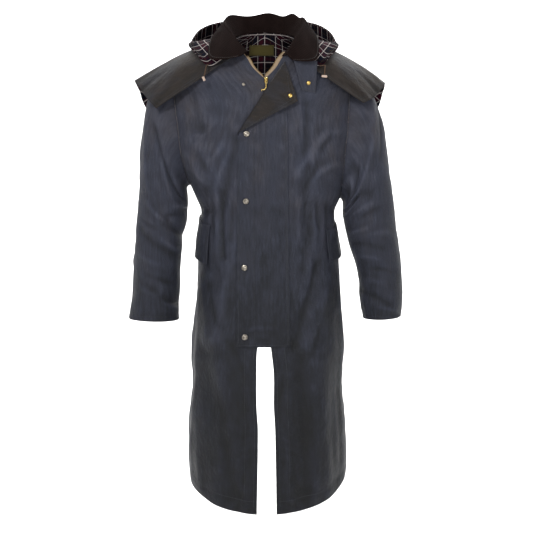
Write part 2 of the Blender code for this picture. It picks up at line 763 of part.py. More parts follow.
def label(u, v, out=0.0):
    x = mix(LABEL_X[0], LABEL_X[1], u)
    z = mix(LABEL_Z[1], LABEL_Z[0], v)
    return body(angle_at_x(x, z, "back"), z, -SHELL - LINING - 3 * EASE + out)


# Making the pieces


def finish(name, color, roughness, metallic=0.0):
    """A material of one plain finish."""
    material = bpy.data.materials.new(name)
    material.use_nodes = True
    shader = material.node_tree.nodes["Principled BSDF"]
    shader.inputs["Base Color"].default_value = (*color, 1.0)
    shader.inputs["Roughness"].default_value = roughness
    shader.inputs["Metallic"].default_value = metallic
    return material


def add_object(name, mesh, material, smooth=True):
    """An object from an edited mesh, with its material."""
    data = bpy.data.meshes.new(name)
    mesh.to_mesh(data)
    mesh.free()
    if smooth:
        data.shade_smooth()
        data.set_sharp_from_angle(angle=math.radians(40))
    data.materials.append(material)
    item = bpy.data.objects.new(name, data)
    bpy.context.scene.collection.objects.link(item)
    return item


def wall(name, across, along, place, thickness, material, tube=False):
    """A closed cloth wall: place(u, v, out) gives its outer face at out 0."""
    mesh = bmesh.new()
    bmesh.ops.create_grid(mesh, x_segments=across, y_segments=along, size=0.5)
    flat = mesh.verts[:] + mesh.edges[:] + mesh.faces[:]
    made = bmesh.ops.extrude_face_region(mesh, geom=flat, use_keep_orig=True)
    for item in made["geom"]:
        if isinstance(item, bmesh.types.BMVert):
            item.co.z = 1.0
    if tube:
        ends = [
            face for face in mesh.faces
            if all(abs(abs(vert.co.x) - 0.5) < 1e-5 for vert in face.verts)
            and len({round(vert.co.x) for vert in face.verts}) == 1
        ]
        bmesh.ops.delete(mesh, geom=ends, context="FACES")
    for vert in mesh.verts:
        u = vert.co.x + 0.5
        if tube and u > 1 - 1e-5:
            u = 0.0
        vert.co = place(u, vert.co.y + 0.5, -vert.co.z * thickness)
    bmesh.ops.remove_doubles(mesh, verts=mesh.verts[:], dist=1e-6)
    bmesh.ops.recalc_face_normals(mesh, faces=mesh.faces[:])
    return add_object(name, mesh, material)


def turned(name, profile, material, point, normal, steps=14):
    """A round piece turned from rows of radius and height, seated on a point."""
    mesh = bmesh.new()
    corners = [mesh.verts.new((radius, 0, height)) for radius, height in profile]
    lines = [mesh.edges.new(pair) for pair in zip(corners, corners[1:])]
    bmesh.ops.spin(
        mesh, geom=corners + lines, cent=(0, 0, 0), axis=(0, 0, 1),
        angle=2 * math.pi, steps=steps, use_merge=True,
    )
    bmesh.ops.remove_doubles(mesh, verts=mesh.verts[:], dist=1e-6)
    bmesh.ops.recalc_face_normals(mesh, faces=mesh.faces[:])
    item = add_object(name, mesh, material)
    item.location = point
    item.rotation_mode = "QUATERNION"
    item.rotation_quaternion = normal.to_track_quat("Z", "Y")
    return item


def snap_profile(radius, height):
    """Half outline of a press stud's cap: a rolled rim round a shallow dish."""
    return [
        # radius, height
        (0.0, 0.0),
        (0.90 * radius, 0.0),
        (1.00 * radius, 0.35 * height),
        (0.92 * radius, 0.85 * height),
        (0.76 * radius, height),
        (0.58 * radius, 0.72 * height),
        (0.0, 0.80 * height),
    ]


def make_panels(cloth):
    across = BODY_ACROSS
    along = ROWS_BELOW + ROWS_ABOVE
    for side, word in ((RIGHT, "right"), (LEFT, "left")):
        for face in ("front", "back"):

            def place(u, v, out, side=side, face=face):
                return panel(side, face, u, v, out)

            wall(f"{face}_{word}", across, along, place, SHELL, cloth)


def make_sleeves(cloth):
    for side, word in ((RIGHT, "right"), (LEFT, "left")):

        def place(u, v, out, side=side):
            return sleeve(side, u, v, out)

        wall(f"sleeve_{word}", 2 * ROWS_ABOVE, 18, place, SHELL, cloth, tube=True)


def make_neck(cloth, corduroy, tartan, plain):
    wall("cape", 40, 9, cape, SHELL, cloth)
    wall("hood", 32, 10, hood, SHELL, cloth)

    def hood_lining(u, v, out):
        rise = min(mix(0.3, 1.0, v), 0.98)
        return hood(mix(1 / 32, 31 / 32, u), rise, out - SHELL - 1.5 * EASE)

    wall("hood_lining", 30, 7, hood_lining, LINING, tartan)

    def collar_place(u, v, out):
        return collar(u - COLLAR_CROWDING * math.sin(2 * math.pi * u) / (2 * math.pi), v, out)

    wall("collar", 34, 9, collar_place, CORDUROY, corduroy)
    wall("back_lining", 12, 7, back_lining, LINING, tartan)
    wall("neck_label", 3, 1, label, 0.0008, plain)


def make_front_pieces(cloth):
    wall("storm_flap", len(FLAP_COLUMNS) - 1, sum(FLAP_ROWS), flap, SHELL, cloth)
    wall("throat_tab", 5, 6, tab, SHELL, cloth)
    for side, word in ((RIGHT, "right"), (LEFT, "left")):

        def place(u, v, out, side=side):
            return pocket_flap(side, u, v, out)

        wall(f"pocket_flap_{word}", 7, 4, place, SHELL, cloth)


def make_zip(tape, brass):
    for side, word in ((RIGHT, "right"), (LEFT, "left")):

        def place(u, v, out, side=side):
            return zip_tape(side, u, v, out)

        wall(f"zip_tape_{word}", 2, 8, place, TAPE, tape)
    make_slider(brass)


def helper(name, mesh):
    """A mesh that only shapes another piece."""
    data = bpy.data.meshes.new(name)
    mesh.to_mesh(data)
    mesh.free()
    item = bpy.data.objects.new(name, data)
    bpy.context.scene.collection.objects.link(item)
    item.hide_render = True
    item.display_type = "WIRE"
    return item


def block(size, centre, bevel=0.0):
    """A mesh of one box, with rounded edges where asked."""
    mesh = bmesh.new()
    bmesh.ops.create_cube(mesh, size=1.0)
    bmesh.ops.scale(mesh, vec=size, verts=mesh.verts[:])
    if bevel:
        bmesh.ops.bevel(
            mesh, geom=mesh.edges[:], offset=bevel, segments=1,
            profile=0.5, affect="EDGES", material=-1,
        )
    bmesh.ops.translate(mesh, vec=centre, verts=mesh.verts[:])
    return mesh


def tube_mesh(points, radius, flat, sides=8):
    """A closed round bar along points in one plane, which the unit vector flat faces."""
    mesh = bmesh.new()
    rings = []
    for index, point in enumerate(points):
        ahead = points[min(index + 1, len(points) - 1)]
        behind = points[max(index - 1, 0)]
        heading = (ahead - behind).normalized()
        turn = Matrix((flat, heading.cross(flat), heading)).transposed().to_4x4()
        ring = bmesh.ops.create_circle(mesh, cap_ends=False, radius=radius, segments=sides)
        bmesh.ops.transform(mesh, matrix=Matrix.Translation(point) @ turn, verts=ring["verts"])
        rings.append(ring["verts"])
    bmesh.ops.bridge_loops(mesh, edges=mesh.edges[:])
    mesh.faces.new(rings[0][::-1])
    mesh.faces.new(rings[-1])
    bmesh.ops.recalc_face_normals(mesh, faces=mesh.faces[:])
    return mesh


def join(item, tool, operation):
    """Cut or join a piece with a helper mesh that shares its place."""
    tool.matrix_world = item.matrix_world
    change = item.modifiers.new(operation.title(), "BOOLEAN")
    change.operation = operation
    change.solver = "EXACT"
    change.object = tool


def make_slider(brass):
    """The slider, its bridge, and the pull hooked on the bridge."""
    wide, thick, tall = SLIDER_SIZE
    seat = skin(angle_at_x(SLIDER_X, SLIDER_Z), SLIDER_Z)
    normal = body_normal(angle_at_x(SLIDER_X, SLIDER_Z), SLIDER_Z)
    tilt = math.atan2(normal.z, -normal.y)
    slider = add_object("zip_slider", block(SLIDER_SIZE, (0, 0, 0), 0.0012), brass, False)
    slider.rotation_euler = (-tilt, 0, 0)
    slider.location = seat + normal * (thick / 2 + 2 * GAP)
    face = -thick / 2
    arch = [
        Vector((0, face + 0.0010, 0.0050)),
        Vector((0, face - BRIDGE_RISE * 0.6, 0.0046)),
        Vector((0, face - BRIDGE_RISE, 0.0026)),
        Vector((0, face - BRIDGE_RISE, -0.0026)),
        Vector((0, face - BRIDGE_RISE * 0.6, -0.0046)),
        Vector((0, face + 0.0010, -0.0050)),
    ]
    bpy.context.view_layer.update()
    join(slider, helper("slider_bridge", tube_mesh(arch, BRIDGE_WIRE, Vector((1, 0, 0)))), "UNION")

    hinge = bpy.data.objects.new("pull_hinge", None)
    hinge.location = slider.matrix_world @ Vector((0, face - BRIDGE_RISE / 2, -0.0010))
    hinge.rotation_euler = slider.rotation_euler
    bpy.context.scene.collection.objects.link(hinge)
    head_wide, head_thick, head_tall = PULL_HEAD
    eye_wide, eye_tall = PULL_EYE
    drop = -head_tall / 2 + PULL_BAR / 2
    pull = add_object("zip_pull", block(PULL_HEAD, (0, 0, drop), 0.0003), brass, False)
    pull.parent = hinge
    bpy.context.view_layer.update()
    tail = []
    for step in range(5):
        tail.append(Vector((0, 0, -head_tall + 0.0016 - 0.0022 * step)))
    foot = tail[-1]
    for step in range(1, 8):
        turn = math.radians(16 * step)
        tail.append(foot + Vector((-0.0078 * (1 - math.cos(turn)), 0, -0.0092 * math.sin(turn))))
    hook = tail[-1]
    tail.append(hook + Vector((-0.0006, 0, -0.0040)))
    eye = block((eye_wide, 4 * head_thick, eye_tall), (0, 0, -PULL_BAR / 2 - eye_tall / 2))
    join(pull, helper("pull_tail", tube_mesh(tail, PULL_TAIL_RADIUS, Vector((0, 1, 0)))), "UNION")
    join(pull, helper("pull_eye", eye), "DIFFERENCE")


def make_studs(silver, brass):
    for index, (x, z) in enumerate(FLAP_SNAPS):
        place, height = flap_fold(Vector((x, z)), 0.0)
        normal = body_normal(angle_at_x(x, z), z)
        point = front_point(place.x, place.y, height + GAP)
        profile = snap_profile(SNAP_RADIUS, 0.0030)
        turned(f"flap_snap_{index + 1}", profile, silver, point, normal)
    folded = Vector((0.0640, -0.158))
    _, top = flap_fold(Vector(FLAP_CORNER), -SHELL)
    small = snap_profile(SOCKET_RADIUS, 0.0024)
    normal = body_normal(angle_at_x(folded.x, folded.y), folded.y)
    turned("flap_socket", small, brass, front_point(folded.x, folded.y, top + GAP), normal, 10)
    normal = (tab(*TAB_SOCKET, 1.0) - tab(*TAB_SOCKET)).normalized()
    turned("tab_socket", small, brass, tab(*TAB_SOCKET, 2 * GAP), normal, 10)
    stud_x = -0.0545
    stud_z = -0.1275
    normal = body_normal(angle_at_x(stud_x, stud_z), stud_z)
    stud = snap_profile(0.0042, 0.0020)
    turned("throat_stud", stud, silver, front_point(stud_x, stud_z, GAP), normal, 10)


def make_cords(cord, cream):
    for side, word in ((RIGHT, "right"), (LEFT, "left")):
        turn = CORD_EXIT[0] if side == RIGHT else 1 - CORD_EXIT[0]
        leave = hood(turn, CORD_EXIT[1], -SHELL - CORD_RADIUS - GAP)
        route = [leave] + [Vector(row) for row in CORDS[side]]
        keyed = [(index / (len(route) - 1), *point) for index, point in enumerate(route)]
        steps = 9
        curve = bpy.data.curves.new(f"hood_cord_{word}", "CURVE")
        curve.dimensions = "3D"
        curve.bevel_depth = CORD_RADIUS
        curve.bevel_resolution = 2
        curve.use_fill_caps = True
        line = curve.splines.new("POLY")
        line.points.add(steps)
        for step in range(steps + 1):
            line.points[step].co = (*read(keyed, step / steps), 1.0)
        curve.materials.append(cord)
        item = bpy.data.objects.new(f"hood_cord_{word}", curve)
        bpy.context.scene.collection.objects.link(item)

        length, radius, degrees = TOGGLE_SIZE[side]
        heading = (route[-1] - route[-2]).normalized()
        turn = math.radians(degrees)
        axis = Vector((-side * math.sin(turn), 0, -math.cos(turn))) if side == RIGHT else \
            Vector((math.sin(turn), 0, -math.cos(turn)))
        reach = radius + GAP if degrees > 45 else length / 2 + GAP
        centre = route[-1] + heading * reach
        profile = [
            # radius, height
            (0.0, -length / 2),
            (0.62 * radius, -0.48 * length),
            (radius, -0.32 * length),
            (radius, 0.32 * length),
            (0.62 * radius, 0.48 * length),
            (0.0, length / 2),
        ]
        turned(f"cord_toggle_{word}", profile, cream, centre, axis, 10)


def main():
    clear_scene()
    cloth = finish("waxed_cotton", (0.030, 0.034, 0.046), 0.55)
    corduroy = finish("corduroy", (0.020, 0.012, 0.010), 0.9)
    tartan = finish("tartan_lining", (0.040, 0.022, 0.040), 0.85)
    plain = finish("woven_label", (0.090, 0.075, 0.020), 0.8)
    tape = finish("zip_tape", (0.36, 0.26, 0.16), 0.8)
    brass = finish("brass", (0.80, 0.60, 0.20), 0.3, 1.0)
    silver = finish("nickel_stud", (0.50, 0.48, 0.44), 0.35, 1.0)
    cord = finish("hood_cord", (0.10, 0.06, 0.035), 0.85)
    cream = finish("cord_toggle", (0.60, 0.48, 0.42), 0.5)
    make_panels(cloth)
    make_sleeves(cloth)
    make_neck(cloth, corduroy, tartan, plain)
    make_front_pieces(cloth)
    make_zip(tape, brass)
    make_studs(silver, brass)
    make_cords(cord, cream)


main()
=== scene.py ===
"""The look of a waxed duster coat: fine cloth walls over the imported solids, with their
folds, seams, stitching and finishes.

Lengths are in metres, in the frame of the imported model: +Z up, the front at -Y, the
wearer's left at +X and the origin at the nape. The tables down to LABEL are the coat's
own construction, and each cloth piece lies on the form of the solid that it replaces.
"""

import math
from functools import partial

import bmesh
import bpy
import numpy as np
from mathutils import Matrix, Vector


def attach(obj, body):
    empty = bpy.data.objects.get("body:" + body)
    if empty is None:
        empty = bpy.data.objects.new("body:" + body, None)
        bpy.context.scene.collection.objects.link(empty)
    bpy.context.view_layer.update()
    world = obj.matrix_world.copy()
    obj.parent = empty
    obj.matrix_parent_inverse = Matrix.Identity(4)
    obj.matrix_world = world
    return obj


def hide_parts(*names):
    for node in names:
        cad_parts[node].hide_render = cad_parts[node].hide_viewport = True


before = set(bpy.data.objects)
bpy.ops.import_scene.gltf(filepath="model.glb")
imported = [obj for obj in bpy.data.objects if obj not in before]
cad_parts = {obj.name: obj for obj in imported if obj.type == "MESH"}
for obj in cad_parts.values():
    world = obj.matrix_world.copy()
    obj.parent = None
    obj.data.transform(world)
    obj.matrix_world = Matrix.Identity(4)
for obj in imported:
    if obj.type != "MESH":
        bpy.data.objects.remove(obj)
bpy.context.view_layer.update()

MM = 0.001
RIGHT = -1
LEFT = 1
WORDS = {RIGHT: "right", LEFT: "left"}

# Cloth thicknesses, the gap between pieces at a seam, and the room under a piece
SHELL = 0.0022
CORDUROY = 0.0026
LINING = 0.0010
TAPE = 0.0011
LABEL_CLOTH = 0.0008
GAP = 0.0003
EASE = 0.0012

ARMPIT_ROW = 14 / 24
ROW_CROWDING = 0.75
V_SHARE = 0.40
BACK_SEAM_SHARE = 0.50
CHEST_Z = -0.404
PANEL_WIDTH = 0.21
BACK_SEAM_TURN = 0.0002 / 0.11

BODY = [
    # z, right, left, front, back, power
    (0.024, 0.058, 0.058, 0.072, 0.072, 2.3),
    (0.002, 0.078, 0.078, 0.082, 0.080, 2.4),
    (-0.016, 0.110, 0.108, 0.092, 0.088, 2.5),
    (-0.036, 0.148, 0.142, 0.100, 0.095, 2.6),
    (-0.058, 0.188, 0.176, 0.107, 0.101, 2.6),
    (-0.088, 0.238, 0.216, 0.116, 0.108, 2.7),
    (-0.113, 0.249, 0.226, 0.124, 0.112, 2.7),
    (-0.163, 0.255, 0.234, 0.132, 0.118, 2.7),
    (-0.212, 0.256, 0.239, 0.137, 0.122, 2.7),
    (-0.290, 0.244, 0.234, 0.140, 0.122, 2.6),
    (-0.352, 0.219, 0.222, 0.137, 0.116, 2.5),
    (-0.385, 0.200, 0.212, 0.133, 0.111, 2.4),
    (-0.420, 0.184, 0.200, 0.128, 0.106, 2.4),
    (-0.456, 0.171, 0.187, 0.124, 0.103, 2.3),
    (-0.520, 0.177, 0.194, 0.126, 0.106, 2.3),
    (-0.620, 0.181, 0.199, 0.136, 0.120, 2.3),
    (-0.720, 0.189, 0.205, 0.146, 0.136, 2.3),
    (-0.834, 0.196, 0.213, 0.153, 0.148, 2.3),
    (-0.925, 0.193, 0.210, 0.158, 0.155, 2.3),
    (-1.010, 0.203, 0.216, 0.162, 0.160, 2.3),
    (-1.100, 0.207, 0.221, 0.166, 0.164, 2.3),
    (-1.177, 0.204, 0.218, 0.169, 0.167, 2.3),
    (-1.245, 0.201, 0.214, 0.171, 0.169, 2.3),
]
NECKLINE = [
    # degrees from the centre front, z
    (0.0, -0.113), (7.0, -0.086), (14.0, -0.058), (25.0, -0.036), (40.0, -0.016),
    (90.0, 0.002), (120.0, 0.013), (147.0, 0.019), (180.0, 0.022),
]
HEM = [
    # degrees from the centre front, z
    (-180.0, -1.168), (-120.0, -1.172), (-90.0, -1.178), (-62.0, -1.196),
    (-35.0, -1.226), (0.0, -1.240), (35.0, -1.226), (62.0, -1.192), (90.0, -1.162),
    (120.0, -1.162), (180.0, -1.168),
]
FRONT_EDGES = [
    # z, edge on the wearer's right, edge on the wearer's left
    (-0.113, 0.0028, 0.0032),
    (-0.620, 0.0028, 0.0032),
    (-0.640, 0.0027, 0.0033),
    (-0.700, 0.0006, 0.0050),
    (-0.806, -0.0195, 0.0155),
    (-0.870, -0.0220, 0.0225),
    (-0.960, -0.0215, 0.0230),
    (-1.020, -0.0180, 0.0262),
    (-1.240, -0.0213, 0.0305),
]
BACK_EDGES = [
    # z, edge on the wearer's right, edge on the wearer's left
    (0.022, -0.0002, 0.0002),
    (-0.540, -0.0002, 0.0002),
    (-0.560, -0.0003, 0.0003),
    (-0.640, -0.0030, 0.0040),
    (-0.850, -0.0290, 0.0270),
    (-1.000, -0.0400, 0.0370),
    (-1.170, -0.0470, 0.0460),
]
ARMHOLES = {
    # side: z, half height, y, half depth
    RIGHT: (-0.237, 0.149, 0.005, 0.088),
    LEFT: (-0.256, 0.166, 0.005, 0.086),
}

# Folds of the body in millimetres, as soft ridges (above zero) and troughs, by the face
# that they lie on: across0, z0, across1, z1, bow, half width, depth at start, middle and
# end. The solids have the first 14 of the front and the first 8 of the back.
FOLDS = {
    "front": [
        (-73, -270, -109, -430, 0, 16, -6, -6, -6),
        (-186, -150, -166, -240, 0, 14, -5, -5, -5),
        (-83, -545, -130, -780, 0, 20, 6, 6, 6),
        (-155, -400, -150, -455, 0, 13, -5, -5, -5),
        (-112, -410, -106, -570, 0, 13, -5, -5, -5),
        (-160, -830, -80, -1190, 0, 26, -6, -6, -6),
        (-118, -860, -50, -1210, 0, 22, 5, 5, 5),
        (150, -262, 84, -352, 0, 15, 5, 5, 5),
        (104, -180, 112, -430, 0, 16, -5, -5, -5),
        (137, -590, 78, -800, 0, 18, -7, -7, -7),
        (118, -470, 100, -600, 0, 14, -4, -4, -4),
        (56, -880, 62, -1200, 0, 18, 5, 5, 5),
        (96, -830, 106, -1200, 0, 20, -6, -6, -6),
        (145, -850, 160, -1190, 0, 24, 6, 6, 6),
        # waist gathers on the wearer's right
        (-151, -415, -146, -500, 3, 6, 0, 3, 0),
        (-139, -395, -135, -520, -3, 5.5, 0, -3, 0),
        (-128, -420, -128, -560, 4, 6, 0, 3.2, 1),
        (-119, -380, -114, -490, 2, 4.5, 0, -2.4, 0),
        (-100, -430, -96, -585, -4, 6, 0, 3, 1),
        (-90, -400, -84, -520, 3, 5, 0, -2.6, 0),
        (-80, -450, -79, -600, 2, 5, 0, 2.2, 0),
        (-165, -430, -158, -520, 2, 5, 0, 2.2, 0),
        # long and short creases on the wearer's right
        (-100, -250, -150, -330, 8, 8, 1, 3.2, 0),
        (-120, -205, -172, -262, 6, 8, 0, 2.8, 1),
        (-92, -300, -124, -395, -6, 7, 1, 3, 0),
        (-175, -280, -140, -360, -8, 9, 2, -3, 0),
        (-190, -320, -150, -390, -6, 8, 2, 3.2, 0),
        (-88, -610, -102, -740, 6, 9, 0, -2.8, 0),
        (-145, -620, -120, -760, -8, 10, 1, -3, 0),
        (-168, -640, -156, -820, 6, 12, 1, 3.4, 0),
        (-100, -780, -44, -930, 10, 12, 0, -4, 0),
        (-60, -840, -34, -1020, 6, 10, 0, 3.4, 1),
        (-140, -900, -120, -1130, 10, 12, 0, 3.6, 2),
        (-178, -860, -170, -1190, -6, 14, 1, 4, 4),
        (-46, -1060, -70, -1230, 4, 10, 0, -3, -2),
        # waist gathers on the wearer's left
        (88, -420, 92, -540, -3, 5.5, 0, 2.8, 0),
        (100, -395, 104, -500, 3, 5, 0, -2.6, 0),
        (126, -430, 130, -560, 4, 6, 0, 3.2, 0),
        (138, -400, 141, -520, -3, 5.5, 0, -3, 0),
        (150, -430, 149, -545, 3, 6, 0, 3, 1),
        (163, -410, 161, -500, -2, 5, 0, -2.2, 0),
        (176, -440, 173, -530, 2, 5.5, 0, 2.6, 0),
        # long and short creases on the wearer's left
        (88, -160, 94, -300, 4, 8, 1, 3, 0),
        (122, -190, 128, -360, -5, 10, 0, 3.4, 0),
        (185, -250, 140, -300, -6, 9, 2, -3.4, 0),
        (180, -330, 110, -395, -10, 9, 2, 3.4, 0),
        (140, -310, 92, -410, 8, 8, 0, -3, 0),
        (120, -560, 94, -700, 8, 10, 0, 3.6, 0),
        (168, -620, 150, -790, -8, 12, 1, 3.6, 0),
        (150, -690, 112, -850, 10, 11, 0, -3.6, 0),
        (50, -830, 34, -980, 3, 9, 0, -3, 0),
        (76, -900, 80, -1210, -6, 12, 0, -3.4, -3),
        (122, -880, 132, -1200, 5, 12, 0, 3.6, 4),
        (184, -820, 186, -1180, -5, 14, 0, -4, -3),
    ],
    "back": [
        (-130, -330, -70, -460, 0, 18, -6, -6, -6),
        (125, -340, 66, -470, 0, 18, -6, -6, -6),
        (-105, -420, -118, -640, 0, 16, -6, -6, -6),
        (100, -430, 112, -620, 0, 16, -6, -6, -6),
        (-75, -600, -98, -1160, 0, 26, 10, 10, 10),
        (70, -620, 92, -1160, 0, 26, 10, 10, 10),
        (-140, -640, -160, -1170, 0, 26, -9, -9, -9),
        (136, -660, 158, -1170, 0, 26, -9, -9, -9),
        # seat, waist gathers and skirt
        (-150, -400, -146, -520, 3, 6, 0, 3.2, 0),
        (-132, -420, -134, -560, -3, 6, 0, -3, 0),
        (-90, -400, -94, -540, 4, 6.5, 0, 3.4, 0),
        (-72, -430, -70, -580, -3, 5.5, 0, -2.8, 0),
        (-50, -400, -54, -520, 3, 6, 0, 3, 0),
        (-30, -440, -26, -560, -2, 5, 0, -2.2, 0),
        (26, -410, 30, -530, 3, 5.5, 0, 2.6, 0),
        (46, -430, 50, -570, -3, 6, 0, -3, 0),
        (66, -400, 70, -530, 3, 6.5, 0, 3.2, 0),
        (86, -430, 88, -560, -4, 5.5, 0, -2.6, 0),
        (124, -410, 130, -540, 3, 6.5, 0, 3.2, 0),
        (144, -430, 146, -540, -3, 5.5, 0, -2.6, 0),
        (-170, -240, -60, -400, 20, 12, 3, 4, 0),
        (176, -260, 50, -420, -24, 13, 3, 4.2, 0),
        (-110, -340, -30, -440, 12, 9, 1, -3.2, 0),
        (106, -350, 20, -450, -12, 10, 1, -3.4, 0),
        (-45, -660, -50, -960, 8, 14, 0, -5, 0),
        (40, -700, 52, -1150, -8, 15, 0, -5, -4),
        (-108, -740, -124, -1150, 10, 14, 0, -4, -3),
        (112, -720, 120, -1150, -6, 14, 0, 4.4, 4),
        (-178, -760, -188, -1160, 6, 15, 0, 5, 5),
        (176, -700, 190, -1150, 8, 15, 0, 4.6, 5),
    ],
    "right": [
        # the sides, whose places across are depths
        (-30, -560, -40, -900, 10, 14, 0, -5, 0),
        (20, -600, 26, -1150, -10, 18, 0, 6, 5),
        (60, -700, 70, -1150, 6, 15, 0, -5, -4),
        (-70, -720, -66, -1170, 4, 14, 0, 4, 4),
    ],
    "left": [
        (-40, -580, -30, -860, -10, 15, 0, 5, 0),
        (14, -560, 30, -1140, 10, 17, 0, -6, -4),
        (64, -640, 60, -1140, 6, 15, 0, 5, 5),
        (-74, -760, -80, -1160, 4, 14, 0, -4, -3),
    ],
}

# The finest unevenness of the cloth: size of its bumps and their height
CRUMPLES = [
    # size, height, seed
    (0.060, 0.0022, 11),
    (0.024, 0.0011, 29),
]

SLEEVES = {
    RIGHT: [
        # along, outer x, outer z, inner x, inner z, half depth, centre y
        (0.00, -0.240, -0.088, -0.210, -0.386, 0.088, 0.005),
        (0.08, -0.282, -0.106, -0.211, -0.393, 0.092, 0.004),
        (0.17, -0.312, -0.158, -0.210, -0.402, 0.094, 0.002),
        (0.27, -0.326, -0.228, -0.209, -0.416, 0.091, 0.000),
        (0.38, -0.334, -0.310, -0.208, -0.440, 0.086, -0.003),
        (0.50, -0.338, -0.410, -0.211, -0.478, 0.080, -0.006),
        (0.62, -0.347, -0.500, -0.219, -0.524, 0.076, -0.010),
        (0.77, -0.352, -0.600, -0.226, -0.606, 0.073, -0.018),
        (0.89, -0.356, -0.680, -0.230, -0.684, 0.071, -0.026),
        (1.00, -0.3635, -0.741, -0.2325, -0.745, 0.070, -0.032),
    ],
    LEFT: [
        # along, outer x, outer z, inner x, inner z, half depth, centre y
        (0.00, 0.217, -0.090, 0.208, -0.422, 0.086, 0.005),
        (0.08, 0.262, -0.108, 0.210, -0.430, 0.090, 0.004),
        (0.17, 0.296, -0.162, 0.210, -0.440, 0.092, 0.002),
        (0.27, 0.315, -0.226, 0.209, -0.454, 0.090, 0.000),
        (0.38, 0.328, -0.310, 0.210, -0.474, 0.086, -0.003),
        (0.50, 0.341, -0.410, 0.217, -0.508, 0.080, -0.008),
        (0.62, 0.353, -0.510, 0.227, -0.552, 0.076, -0.014),
        (0.77, 0.364, -0.606, 0.248, -0.624, 0.073, -0.024),
        (0.89, 0.369, -0.690, 0.254, -0.690, 0.071, -0.034),
        (1.00, 0.362, -0.734, 0.265, -0.740, 0.069, -0.040),
    ],
}
ARMHOLE_BLEND = 0.16
SLEEVE_SIZE = (0.46, 0.66)

SLEEVE_FOLDS = {
    RIGHT: [
        # turn0, along0, turn1, along1 as shares; half width and three depths in mm
        (0.2, 0.2, 0.42, 0.34, 18, -6, -6, -6),
        (0.3, 0.56, 0.48, 0.62, 16, -6, -6, -6),
        (0.12, 0.62, 0.34, 0.7, 16, -5, -5, -5),
        (0.22, 0.86, 0.44, 0.92, 14, -4, -4, -4),
        (0.62, 0.22, 0.8, 0.32, 20, -6, -6, -6),
        (0.56, 0.58, 0.76, 0.64, 18, -6, -6, -6),
        (0.1, 0.18, 0.16, 0.48, 12, 0, 4, 0),
        (0.26, 0.24, 0.34, 0.44, 10, 1, 3.6, 0),
        (0.46, 0.4, 0.32, 0.47, 9, 3, 4, 0),
        (0.44, 0.47, 0.28, 0.53, 8, 3, -3.4, 0),
        (0.14, 0.5, 0.34, 0.57, 9, 0, 4, 1),
        (0.1, 0.57, 0.26, 0.6, 8, 0, -3.4, 0),
        (0.24, 0.63, 0.44, 0.7, 9, 0, 3.6, 1),
        (0.1, 0.71, 0.3, 0.76, 9, 0, 3.4, 0),
        (0.16, 0.79, 0.4, 0.83, 8, 0, -3, 0),
        (0.12, 0.84, 0.3, 0.88, 8, 0, 3, 0),
        (0.28, 0.9, 0.46, 0.95, 7, 0, 2.6, 0),
        (0.6, 0.36, 0.84, 0.44, 12, 0, 4.4, 0),
        (0.56, 0.48, 0.8, 0.53, 10, 1, -4, 0),
        (0.6, 0.68, 0.86, 0.73, 10, 0, 3.8, 0),
        (0.58, 0.82, 0.8, 0.87, 9, 0, -3.2, 0),
        (0.9, 0.3, 0.96, 0.6, 12, 0, -3.6, 0),
        (0.88, 0.66, 0.98, 0.8, 10, 0, 3.4, 0),
    ],
    LEFT: [
        # turn0, along0, turn1, along1 as shares; half width and three depths in mm
        (0.1, 0.12, 0.28, 0.3, 20, 7, 7, 7),
        (0.395, 0.04, 0.375, 0.23, 6.5, 3, 7.5, 1),
        (0.35, 0.05, 0.335, 0.22, 8, -2, -6, 0),
        (0.445, 0.05, 0.43, 0.24, 8, -2, -6, 0),
        (0.36, 0.34, 0.24, 0.42, 16, -6, -6, -6),
        (0.4, 0.6, 0.2, 0.66, 16, -5, -5, -5),
        (0.42, 0.84, 0.2, 0.9, 14, -4, -4, -4),
        (0.62, 0.24, 0.82, 0.34, 20, -6, -6, -6),
        (0.58, 0.6, 0.78, 0.66, 18, -6, -6, -6),
        (0.04, 0.16, 0.16, 0.36, 10, 0, -4.4, 0),
        (0.3, 0.14, 0.38, 0.3, 10, 0, -4.4, 0),
        (0.46, 0.3, 0.3, 0.33, 9, 3, 3.8, 0),
        (0.46, 0.37, 0.28, 0.37, 8, 3, 3.6, 0),
        (0.4, 0.42, 0.22, 0.47, 9, 1, 4, 0),
        (0.36, 0.48, 0.16, 0.51, 9, 0, -3.6, 0),
        (0.44, 0.53, 0.24, 0.56, 9, 1, 4, 0),
        (0.3, 0.58, 0.1, 0.62, 9, 0, 3.6, 0),
        (0.42, 0.67, 0.22, 0.71, 9, 0, 3.4, 1),
        (0.34, 0.74, 0.12, 0.78, 8, 0, -3, 0),
        (0.4, 0.79, 0.2, 0.82, 8, 0, 3, 0),
        (0.3, 0.92, 0.12, 0.95, 7, 0, 2.6, 0),
        (0.62, 0.38, 0.82, 0.47, 12, 0, 4.4, 0),
        (0.58, 0.5, 0.8, 0.55, 10, 0, -4, 0),
        (0.62, 0.7, 0.86, 0.76, 10, 0, 3.8, 0),
        (0.6, 0.83, 0.82, 0.88, 9, 0, -3, 0),
        (0.9, 0.34, 0.98, 0.58, 12, 0, 3.6, 0),
        (0.88, 0.68, 0.96, 0.84, 10, 0, -3.4, 0),
    ],
}

